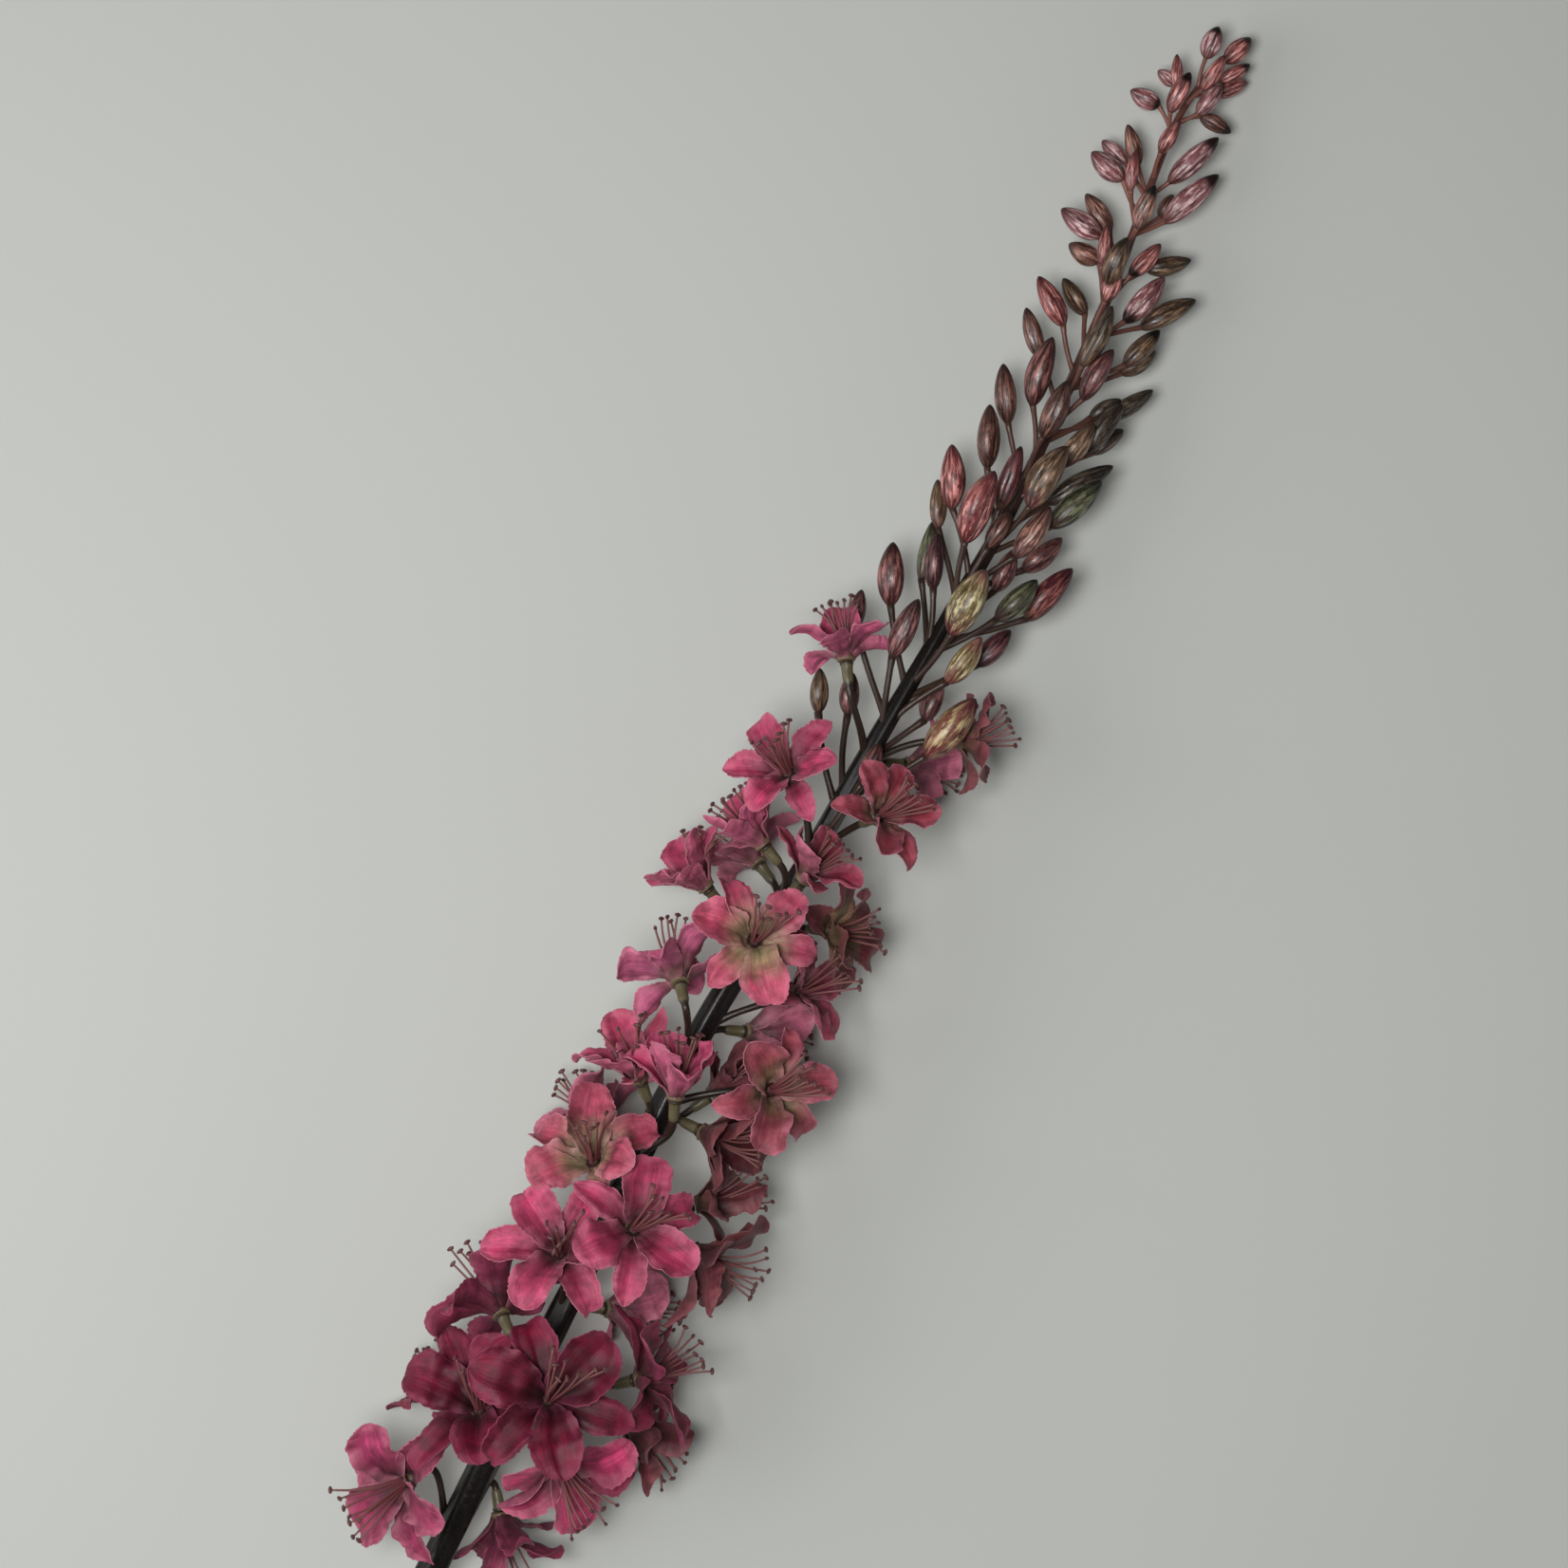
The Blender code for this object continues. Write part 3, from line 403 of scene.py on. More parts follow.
# The cloth of a petal: a thin sheet of polyester, heat-pressed into veins and a cup, cut with a
# slightly frayed edge. Shares along run from root to tip, and shares across from the middle to a rim
sheet = {
    "rows": 38,
    "columns": 18,
    "courseSteps": 160,
    "tipGather": 1.5,          # rows gather towards the tip
    "rimGather": 1.3,          # columns gather towards the rims
    "width": 0.95,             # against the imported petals, whose corners cut their curves
    "fullWidth": 7 * mm,       # half the width of a petal whose folds have the sizes given here
    "thickness": 0.34 * mm,
    "rimThin": 0.45,           # share of the thickness that the rims lose
    "tipCurlFrom": 0.62,       # share along
    "fullestSpread": (0.93, 1.08),
    "roundnessSpread": (0.9, 1.12),
    "tipEnd": 0.9985,          # share along where the outline is cut off
    "narrowest": 0.02,         # of the half width
    "cutWander": 0.055,
    "cutWaves": (4, 9, 14),    # radians along
    "fray": 0.28 * mm,
    "cupGrows": 0.35,          # share along where the cup has its own depth
    "crease": 0.50 * mm,       # the fold down the middle
    "creaseWidth": 0.10,
    "pleats": 0.31 * mm,
    "pleatWaves": (5, 9.5, 14, 18.5),      # radians across
    "crumple": 0.24 * mm,
    "crumples": 4,
    "crumpleAcross": (1.5, 4.5),           # radians
    "crumpleAlong": (4, 11),
    "wave": (0.4 * mm, 1.6 * mm),
    "waves": (1.2, 3.4),
    "frill": (0.05 * mm, 0.26 * mm),
    "frills": (5.0, 9.0),
    "rollFrom": 0.55,          # share across
    "twist": 20,
    "sideways": 1.1 * mm,      # how far its middle line wanders to a side
    "seed": 77,
    "tones": (0.86, 1.12),
    "throatSpread": (0.75, 1.1),
    "backTone": {"pink": "#BC7890", "crimson": "#8A4A62", "dusty": "#8E4C54"},     # the backs are paler
    "backShare": 0.35,
    "clear": 0.06 * mm,        # above the surface
}


def petalCourse(kind, place, draw, bend, length, share, luck):
    # The middle line: its angle, its distance from the bloom's axis and its height at each row
    fine = np.linspace(0, 1, sheet["courseSteps"] + 1)
    curl = luck.uniform(*kind["tipCurl"]) * smooth(sheet["tipCurlFrom"], 1.0, fine) ** 1.5
    angle = np.radians(petalAngle(kind, place, draw, bend, fine) + curl)
    step = length / sheet["courseSteps"]
    radius = rootRadius() + np.concatenate([[0], np.cumsum(np.cos(angle[:-1]))]) * step
    root = bossEdge(kind) - petal["solid"] / 2
    height = root + np.concatenate([[0], np.cumsum(np.sin(angle[:-1]))]) * step
    return [np.interp(share, fine, values)[:, None] for values in (angle, radius, height)]


def petalOutline(kind, halfWidth, share, luck):
    # Half the width at each row, for the left and the right, each cut a little differently
    fullest = kind["fullest"] * luck.uniform(*sheet["fullestSpread"])
    roundness = kind["roundness"] * luck.uniform(*sheet["roundnessSpread"])
    swell = np.sin(np.pi * np.minimum(share, sheet["tipEnd"]) ** fullest) ** roundness
    root = petal["bossRadius"] / 2 * (1 - share) ** 3
    halves = []
    for _ in range(2):
        wander = sum(math.sin(luck.uniform(0, 6)) * np.sin(share * waves + luck.uniform(0, 6))
                     for waves in sheet["cutWaves"])
        half = halfWidth * swell * (1 + sheet["cutWander"] * wander) + root
        fray = np.array([luck.uniform(-1, 1) for _ in share]) * sheet["fray"]
        half = half + fray * np.minimum(1, swell * 2) * smooth(0.1, 0.3, share)
        halves.append(np.maximum(half, sheet["narrowest"] * halfWidth)[:, None])
    return halves


def petalSection(kind, size, s, v, across, luck):
    # Sideways and up at share s along and v across: a round cup with a middle crease, pressed pleats
    # and crumples, rims that wave and roll, all of it twisted
    window = np.sin(np.pi * np.minimum(s * 0.9 + 0.08, 1)) ** 0.6       # folds fade at both ends
    cup = lerp(kind["rootCup"], luck.uniform(*kind["cup"]), smooth(0.0, sheet["cupGrows"], s))
    x = across * np.sin(v * cup) / np.sin(cup)
    h = across * (1 - np.cos(v * cup)) / np.sin(cup)
    h = h - sheet["crease"] * size * np.exp(-(v / sheet["creaseWidth"]) ** 2) * window
    pleats = sum(luck.uniform(0.4, 1) / (1 + 0.3 * k) * np.sin(v * waves + luck.uniform(0, 6))
                 for k, waves in enumerate(sheet["pleatWaves"]))
    h = h + sheet["pleats"] * size * pleats * window * (1 - 0.4 * np.abs(v))
    for _ in range(sheet["crumples"]):
        crossing, running = luck.uniform(*sheet["crumpleAcross"]), luck.uniform(*sheet["crumpleAlong"])
        one = np.sin(v * crossing + s * running * 1.3 + luck.uniform(0, 6))
        other = np.sin(s * running - v * crossing * 0.6 + luck.uniform(0, 6))
        h = h + sheet["crumple"] * size * one * other * window
    for side in (-1, 1):
        rim = np.clip(v * side, 0, 1)
        for height, turns, steepness in (("wave", "waves", 2.5), ("frill", "frills", 4)):
            wave = luck.uniform(*sheet[height]) * size * rim ** steepness
            h = h + wave * np.sin(math.tau * luck.uniform(*sheet[turns]) * s + luck.uniform(0, 6)) * window
        roll = luck.uniform(*kind["roll"])
        h = h + roll * across * smooth(sheet["rollFrom"], 1.0, v * side) ** 1.5 * window
    wander = luck.uniform(-1, 1) * sheet["sideways"] * size
    x = x + wander * np.sin(np.pi * 0.9 * s) * smooth(0.05, 0.4, s)
    twist = np.radians(luck.uniform(-1, 1) * sheet["twist"]) * s
    return x * np.cos(twist) - h * np.sin(twist), x * np.sin(twist) + h * np.cos(twist)


def petalSheet(place, index, number, draw, bend):
    kind = petalKind(number)
    luck = random.Random(sheet["seed"] + petal["seed"] * index + number)
    length = place.petal * kind["length"] * bend.shrink * draw.length
    halfWidth = place.petal * kind["halfWidth"] * bend.shrink * draw.width * sheet["width"]
    share = 1 - (1 - np.linspace(0, 1, sheet["rows"] + 1)) ** sheet["tipGather"]
    angle, radius, height = petalCourse(kind, place, draw, bend, length, share, luck)
    left, right = petalOutline(kind, halfWidth, share, luck)
    s = share[:, None]
    v = np.sin(np.linspace(-1, 1, sheet["columns"] + 1) * sheet["rimGather"]) / math.sin(sheet["rimGather"])
    across = np.where(v < 0, left, right)
    x, h = petalSection(kind, halfWidth / sheet["fullWidth"], s, v, across, luck)

    # Into the bloom, into place, and clear of the surface
    outward, sideways = (np.array(axis) for axis in petalAxes(number, draw, bend))
    r = radius - np.sin(angle) * h
    z = height + np.cos(angle) * h
    local = r[..., None] * outward + x[..., None] * sideways + z[..., None] * np.array((0, 0, 1))
    world = local @ np.array(place.turn).T + np.array(place.throat)
    normal = np.cross(np.gradient(world, axis=0), np.gradient(world, axis=1))
    normal /= np.maximum(np.linalg.norm(normal, axis=2, keepdims=True), 1e-12)
    half = sheet["thickness"] / 2 * (1 - sheet["rimThin"] * np.abs(v[:, None]) ** 6)
    upper, lower = world + normal * half, world - normal * half
    lift = np.maximum(sheet["clear"] - np.minimum(upper[..., 2], lower[..., 2]), 0)
    upper[..., 2] += lift
    lower[..., 2] += lift

    # What the cloth needs at each corner: millimetres over it, shares and distance from the cut
    edge = np.minimum(across * (1 - np.abs(v)), (1 - s) * length) / mm
    seed = np.full(edge.shape, luck.uniform(0, 50))
    cloth = np.stack(np.broadcast_arrays(x / mm, s * length / mm, seed), axis=-1)
    form = np.stack(np.broadcast_arrays(s, v, edge), axis=-1)
    tone = luck.uniform(*sheet["tones"])
    dye = linear(place.dye) * (tone, tone, tone, 1)
    back = lerp(dye, linear(sheet["backTone"][place.slot]), sheet["backShare"])
    throat = np.array([*linear(place.throatDye)[:3], place.reach * luck.uniform(*sheet["throatSpread"])])

    # Both faces, joined round the rim
    count = edge.size
    grid = np.arange(count).reshape(edge.shape)
    quads = np.stack([grid[:-1, :-1], grid[1:, :-1], grid[1:, 1:], grid[:-1, 1:]], axis=-1).reshape(-1, 4)
    rim = np.concatenate([grid[:, 0], grid[-1, 1:], grid[-2::-1, -1], grid[0, -2:0:-1]])
    after = np.roll(rim, -1)
    side = np.stack([rim, rim + count, after + count, after], axis=-1)
    return {
        "corners": np.concatenate([upper.reshape(-1, 3), lower.reshape(-1, 3)]),
        "faces": np.concatenate([quads, quads[:, ::-1] + count, side]).tolist(),
        "cloth": np.tile(cloth.reshape(-1, 3), (2, 1)),
        "form": np.tile(form.reshape(-1, 3), (2, 1)),
        "dye": np.repeat([dye, back], count, axis=0),
        "throat": np.tile(throat, (2 * count, 1)),
    }


def tube(points, radii, sides):
    # Corners round a course of points, and where each is around it and along it in mm
    points = [Vector(p) for p in points]
    side = (points[1] - points[0]).orthogonal().normalized()
    corners, around, run = [], [], 0.0
    for i, (point, radius) in enumerate(zip(points, radii)):
        before = points[max(i - 1, 0)]
        tangent = (points[min(i + 1, len(points) - 1)] - before).normalized()
        side = (side - tangent * side.dot(tangent)).normalized()
        other = tangent.cross(side)
        run += (point - before).length
        for k in range(sides):
            cosine, sine = math.cos(math.tau * k / sides), math.sin(math.tau * k / sides)
            corners.append(point + (side * cosine + other * sine) * radius)
            around.append((cosine, sine, run / mm))
    return corners, around


def solidPiece(corners, around, sides, paint, seed):
    # A closed piece from rings of corners, each ring anticlockwise seen from the next one
    grid = np.arange(len(corners)).reshape(-1, sides)
    following = np.roll(grid, -1, axis=1)
    quads = np.stack([grid[:-1], following[:-1], following[1:], grid[1:]], axis=-1).reshape(-1, 4)
    paint = np.array(paint)
    if paint.ndim == 1:
        paint = np.tile(paint, (len(corners), 1))
    return {
        "corners": np.array(corners),
        "faces": [*quads.tolist(), grid[0, ::-1].tolist(), grid[-1].tolist()],
        "around": np.array(around),
        "paint": paint,
        "luck": np.full((len(corners), 1), seed),
    }


attributeKinds = {1: ("FLOAT", "value"), 3: ("FLOAT_VECTOR", "vector"), 4: ("FLOAT_COLOR", "color")}


def makePiece(name, parts, material, replaced):
    # One mesh from parts, each a dictionary of corners, faces and values for its corners
    faces, first = [], 0
    for part in parts:
        faces += [[first + k for k in face] for face in part["faces"]]
        first += len(part["corners"])
    values = {key: np.concatenate([part[key] for part in parts]) for key in parts[0] if key != "faces"}
    mesh = bpy.data.meshes.new(name)
    mesh.from_pydata((values.pop("corners") + np.array(shift)).tolist(), [], faces)
    for key, value in values.items():
        kind, field = attributeKinds[value.shape[1]]
        mesh.attributes.new(key, kind, "POINT").data.foreach_set(field, value.ravel())
    mesh.polygons.foreach_set("use_smooth", [True] * len(mesh.polygons))
    mesh.materials.append(material)
    piece = bpy.data.objects.new(name, mesh)
    bpy.context.scene.collection.objects.link(piece)
    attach(piece, "root")
    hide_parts(replaced)


noiseLow, noiseHigh = 0.3, 0.7      # most of a noise texture's values lie between these


def newMaterial(name):
    made = bpy.data.materials.new(name)
    made.use_nodes = True
    return made, made.node_tree, made.node_tree.nodes["Principled BSDF"]


def mouldedPatterns(tree, around, luck, table):
    # Patterns stretched along a moulding, from rows of frequency around, mm along, scale, detail
    # and roughness. Each piece's own luck sets where it lies in them
    made = {}
    for name, (frequency, length, scale, detail, roughness) in table.items():
        moved = addNode(tree, "ShaderNodeVectorMath", {"operation": "MULTIPLY_ADD"}, {
            0: around["Vector"], 1: (frequency, frequency, 1 / (length * scale)), 2: luck["Vector"]})
        made[name] = addNode(tree, "ShaderNodeTexNoise", {}, {
            "Vector": moved.outputs[0], "Scale": scale, "Detail": detail, "Roughness": roughness}).outputs[0]
    return made


# Petal cloth: dyed polyester satin, pressed hot. Its smooth threads give a soft sheen on what
# bulges, the dye is stronger along the pressed veins, and the cut edge frays pale
polyester = {
    "roughness": (0.46, 0.62),
    "ior": 1.46,
    "sheen": 0.06,
    "sheenRoughness": 0.35,
    "sheenTint": {"pink": "#FFC9D6", "crimson": "#F3A9BE", "dusty": "#FFD2C8"},
    "threads": 0.42,           # mm, drawn about twice as coarse as real so that they show
    "veins": (12.5, 1.2),      # how many fan out over half a petal, and their changes along it
    "veinWidth": 0.045,        # in values of the noise that draws them
    "veinDark": 0.72,
    "streakTones": (0.76, 1.22),
    "clouds": 4.1667,          # mm
    "cloudTones": (0.52, 1.30),
    "grain": 0.6667,           # mm
    "throatFeather": 0.42,     # share along that the throat dye follows the veins
    "throatFrom": (0.25, 0.18),        # where it starts to fade: share of its reach, and more
    "throatPast": 0.26,        # how far past its reach it ends
    "throatShare": 0.92,
    "rootDyeAndShade": 0.03,          # more than the reach: the tone at the root, deeper dye and painted shade in the throat
    "outerDyeAndLight": (0.85, 1.30),  # share along, and tone from there on: brighter dye and painted light on the outer petal
    "bloom": (0.1, 4.2),       # mm from the edge over which it is paler: thinner dye and a painted highlight
    "thinDyeAndHighlightShare": 0.32,
    "thinDyeAndHighlightTones": (0.25, 1.3), # of that share, as the clouds go
    "fray": (-0.50, -0.15),    # mm from the cut edge over which it turns pale, before its notches
    "notches": 0.9,            # mm
    "frayShare": 0.55,
    # The pale of the frayed cut, also used for the painted highlight towards the edges
    "frayAndHighlightColour": {"pink": "#CE8092", "crimson": "#9C4462", "dusty": "#9C5E62"},
    "threadBump": 0.12,
    "veinBump": 0.25,
    "grainBump": 0.3,
    "bump": (0.42, 0.5 * mm),  # strength and depth
}


def dyedPolyester(slotName):
    made, tree, shader = newMaterial(f"dyed_pressed_polyester_{slotName}")
    cloth, form, dye, throat = (addNode(tree, "ShaderNodeAttribute", {"attribute_name": name}).outputs
                                for name in ("cloth", "form", "dye", "throat"))
    overCloth = addNode(tree, "ShaderNodeSeparateXYZ", {}, {0: cloth["Vector"]}).outputs
    length, across, edge = addNode(tree, "ShaderNodeSeparateXYZ", {}, {0: form["Vector"]}).outputs
    reach = throat["Alpha"]

    # Veins fan out from the root, so they follow the share across, not the distance
    over, along = polyester["veins"]
    fan = addNode(tree, "ShaderNodeCombineXYZ", {}, {
        "X": addNode(tree, "ShaderNodeMath", {"operation": "MULTIPLY"}, {0: across, 1: over}).outputs[0],
        "Y": addNode(tree, "ShaderNodeMath", {"operation": "MULTIPLY"}, {0: length, 1: along}).outputs[0],
        "Z": overCloth["Z"]})
    veins = addNode(tree, "ShaderNodeTexNoise", {}, {
        "Vector": fan.outputs[0], "Scale": 1.0, "Detail": 4.0, "Roughness": 0.62,
        "Distortion": 0.2}).outputs[0]
    clouds = addNode(tree, "ShaderNodeTexNoise", {}, {
        "Vector": cloth["Vector"], "Scale": 1 / polyester["clouds"], "Detail": 3.0,
        "Roughness": 0.55}).outputs[0]
    grain = addNode(tree, "ShaderNodeTexNoise", {}, {
        "Vector": cloth["Vector"], "Scale": 1 / polyester["grain"], "Detail": 3.0,
        "Roughness": 0.65}).outputs[0]

    # The throat dye runs out along the veins
    fromShare, fromMore = polyester["throatFrom"]
    feathered = addNode(tree, "ShaderNodeMath", {"operation": "MULTIPLY_ADD"}, {
        0: veins, 1: polyester["throatFeather"], 2: length})
    fadeFrom = addNode(tree, "ShaderNodeMath", {"operation": "MULTIPLY_ADD"}, {
        0: reach, 1: fromShare, 2: fromMore})
    fadeTo = addNode(tree, "ShaderNodeMath", {"operation": "ADD"}, {0: reach, 1: polyester["throatPast"]})
    throatMask = addNode(tree, "ShaderNodeMapRange", {"interpolation_type": "SMOOTHSTEP"}, {
        0: feathered.outputs[0], 1: fadeFrom.outputs[0], 2: fadeTo.outputs[0],
        3: polyester["throatShare"], 4: 0.0})
    base = addNode(tree, "ShaderNodeMix", {"data_type": "RGBA"}, {
        0: throatMask.outputs[0], 6: dye["Color"], 7: throat["Color"]})

    # Thin dark veins, broad lighter and darker streaks, and clouds over the whole petal
    offMiddle = addNode(tree, "ShaderNodeMath", {"operation": "SUBTRACT"}, {0: veins, 1: 0.5})
    apart = addNode(tree, "ShaderNodeMath", {"operation": "ABSOLUTE"}, {0: offMiddle.outputs[0]})
    line = addNode(tree, "ShaderNodeMapRange", {"interpolation_type": "SMOOTHSTEP"}, {
        0: apart.outputs[0], 1: 0.0, 2: polyester["veinWidth"], 3: polyester["veinDark"], 4: 1.0})
    streakLow, streakHigh = polyester["streakTones"]
    streaks = addNode(tree, "ShaderNodeMapRange", {}, {
        0: veins, 1: 0.32, 2: 0.68, 3: streakLow, 4: streakHigh})
    cloudLow, cloudHigh = polyester["cloudTones"]
    cloudy = addNode(tree, "ShaderNodeMapRange", {}, {
        0: clouds, 1: noiseLow, 2: noiseHigh, 3: cloudLow, 4: cloudHigh})
    # Darker at the root and brighter towards the tip: partly the dye, partly painted shade in the throat and
    # painted light on the outer petal
    rootDyeAndShade = addNode(tree, "ShaderNodeMath", {"operation": "ADD", "use_clamp": True}, {
        0: reach, 1: polyester["rootDyeAndShade"]})
    fullFrom, outerDyeAndLight = polyester["outerDyeAndLight"]
    root = addNode(tree, "ShaderNodeMapRange", {"interpolation_type": "SMOOTHSTEP"}, {
        0: length, 1: 0.0, 2: fullFrom, 3: rootDyeAndShade.outputs[0], 4: outerDyeAndLight})
    scale = streaks.outputs[0]
    for factor in (cloudy, line, root):
        scaled = addNode(tree, "ShaderNodeMath", {"operation": "MULTIPLY"}, {
            0: scale, 1: factor.outputs[0]})
        scale = scaled.outputs[0]
    toned = addNode(tree, "ShaderNodeVectorMath", {"operation": "SCALE"}, {
        0: base.outputs[2], "Scale": scale})

    # Paler towards the edge, partly thinner dye and partly a painted highlight, and the cut itself frays
    # pale here and there
    near, far = polyester["bloom"]
    thinDyeAndHighlightMask = addNode(tree, "ShaderNodeMapRange", {"interpolation_type": "SMOOTHSTEP"}, {
        0: edge, 1: near, 2: far, 3: polyester["thinDyeAndHighlightShare"], 4: 0.0})
    least, most = polyester["thinDyeAndHighlightTones"]
    uneven = addNode(tree, "ShaderNodeMapRange", {"interpolation_type": "SMOOTHSTEP"}, {
        0: clouds, 1: 0.34, 2: 0.64, 3: least, 4: most})
    broken = addNode(tree, "ShaderNodeMath", {"operation": "MULTIPLY", "use_clamp": True}, {
        0: thinDyeAndHighlightMask.outputs[0], 1: uneven.outputs[0]})
    pale = linear(polyester["frayAndHighlightColour"][slotName])
    thinnedAndHighlighted = addNode(tree, "ShaderNodeMix", {"data_type": "RGBA"}, {
        0: broken.outputs[0], 6: toned.outputs[0], 7: pale})
    ragged = addNode(tree, "ShaderNodeMath", {"operation": "MULTIPLY_ADD"}, {
        0: grain, 1: -polyester["notches"], 2: edge})
    near, far = polyester["fray"]
    frayMask = addNode(tree, "ShaderNodeMapRange", {"interpolation_type": "SMOOTHSTEP"}, {
        0: ragged.outputs[0], 1: near, 2: far, 3: polyester["frayShare"], 4: 0.0})
    edged = addNode(tree, "ShaderNodeMix", {"data_type": "RGBA"}, {
        0: frayMask.outputs[0], 6: thinnedAndHighlighted.outputs[2], 7: pale})
    tree.links.new(edged.outputs[2], shader.inputs["Base Color"])

    # Threads one way across the other, the pressed veins and the grain. At scale 1 the wave node
    # has 20 / tau bands a millimetre
    weave = [addNode(tree, "ShaderNodeTexWave", {"bands_direction": direction}, {
        "Vector": cloth["Vector"], "Scale": math.tau / polyester["threads"] / 20}) for direction in "XY"]
    raised = addNode(tree, "ShaderNodeMath", {"operation": "MULTIPLY"}, {
        0: weave[0].outputs[1], 1: weave[1].outputs[1]}).outputs[0]
    relief = veins
    for height, share in ((raised, "threadBump"), (line.outputs[0], "veinBump"), (grain, "grainBump")):
        relief = addNode(tree, "ShaderNodeMath", {"operation": "MULTIPLY_ADD"}, {
            0: height, 1: polyester[share], 2: relief}).outputs[0]
    strength, depth = polyester["bump"]
    bump = addNode(tree, "ShaderNodeBump", {}, {"Height": relief, "Strength": strength, "Distance": depth})
    tree.links.new(bump.outputs[0], shader.inputs["Normal"])
    smoothest, roughest = polyester["roughness"]
    rough = addNode(tree, "ShaderNodeMapRange", {}, {
        0: veins, 1: noiseLow, 2: noiseHigh, 3: smoothest, 4: roughest})
    tree.links.new(rough.outputs[0], shader.inputs["Roughness"])
    shader.inputs["IOR"].default_value = polyester["ior"]
    shader.inputs["Sheen Weight"].default_value = polyester["sheen"]
    shader.inputs["Sheen Roughness"].default_value = polyester["sheenRoughness"]
    shader.inputs["Sheen Tint"].default_value = linear(polyester["sheenTint"][slotName])
    return made


# Buds: moulded polyethylene with paint brushed along it. The paint lies mottled, with pale streaks that are
# partly thick paint and partly painted highlight, and dark streaks and spots where the moulding shows
brushedPaint = {
    "ior": 1.51,
    "patterns": {
        "flow": (2.6, 4.762, 1.5, 3.0, 0.62),
        "dark": (3.4, 3.846, 1.3, 3.0, 0.62),
        "blotch": (2.0, 1.818, 1.0, 4.0, 0.62),
        "spots": (2.6, 0.505, 2.2, 2.0, 0.62),
    },
    "masks": {                 # the pattern, the low and high of it that count, and what they give
        "mottle": ("blotch", noiseLow, noiseHigh, 0.68, 1.26),
        "darkStreaks": ("dark", 0.50, 0.70, 1.0, 0.55),
        "darkSpots": ("spots", 0.60, 0.70, 1.0, 0.42),
        "paleStreaksAndHighlights": ("flow", 0.46, 0.68, 0.0, 0.95),
        "roughness": ("blotch", noiseLow, noiseHigh, 0.24, 0.44),
    },
    "bump": (0.5, 0.3 * mm),   # strength and depth
}


def brushedBud(name):
    made, tree, shader = newMaterial(name)
    around, paint, luck, streakAndHighlight = (addNode(tree, "ShaderNodeAttribute", {"attribute_name": name}).outputs
                                   for name in ("around", "paint", "luck", "streakAndHighlight"))
    patterns = mouldedPatterns(tree, around, luck, brushedPaint["patterns"])
    masks = {}
    for key, (pattern, low, high, start, end) in brushedPaint["masks"].items():
        masks[key] = addNode(tree, "ShaderNodeMapRange", {"interpolation_type": "SMOOTHSTEP"}, {
            0: patterns[pattern], 1: low, 2: high, 3: start, 4: end}).outputs[0]

    scale = masks["mottle"]
    for key in ("darkStreaks", "darkSpots"):
        scale = addNode(tree, "ShaderNodeMath", {"operation": "MULTIPLY"}, {
            0: scale, 1: masks[key]}).outputs[0]
    toned = addNode(tree, "ShaderNodeVectorMath", {"operation": "SCALE"}, {
        0: paint["Color"], "Scale": scale})
    light = addNode(tree, "ShaderNodeMath", {"operation": "MULTIPLY"}, {
        0: masks["paleStreaksAndHighlights"], 1: streakAndHighlight["Alpha"]})
    streaked = addNode(tree, "ShaderNodeMix", {"data_type": "RGBA"}, {
        0: light.outputs[0], 6: toned.outputs[0], 7: streakAndHighlight["Color"]})
    tree.links.new(streaked.outputs[2], shader.inputs["Base Color"])
    strength, depth = brushedPaint["bump"]
    bump = addNode(tree, "ShaderNodeBump", {}, {
        "Height": patterns["flow"], "Strength": strength, "Distance": depth})
    tree.links.new(bump.outputs[0], shader.inputs["Normal"])
    tree.links.new(masks["roughness"], shader.inputs["Roughness"])
    shader.inputs["IOR"].default_value = brushedPaint["ior"]
    return made


# Stem, stalks and stamens: moulded polyethylene. It has a waxy half gloss, faint flow marks along
# it and small pale specks
polyethylene = {
    "patterns": {
        "flow": (2.2, 5.0, 1.25, 3.0, 0.6),
        "specks": (2.0, 0.58333, 1.71429, 4.0, 0.7),
    },
    "specksFrom": (0.62, 0.70),
    "bump": (0.35, 0.25 * mm), # strength and depth
    "stem": {
        "name": "moulded_polyethylene_stem", "flowTone": 0.28, "speckShare": 0.35, "speckDye": "#5A4A38",
        "roughness": (0.26, 0.46), "ior": 1.40,
    },
    "stamen": {
        "name": "moulded_polyethylene_stamen", "flowTone": 0.2, "speckShare": 0.2, "speckDye": "#6E4A3C",
        "roughness": (0.4, 0.6), "ior": 1.51,
    },
}


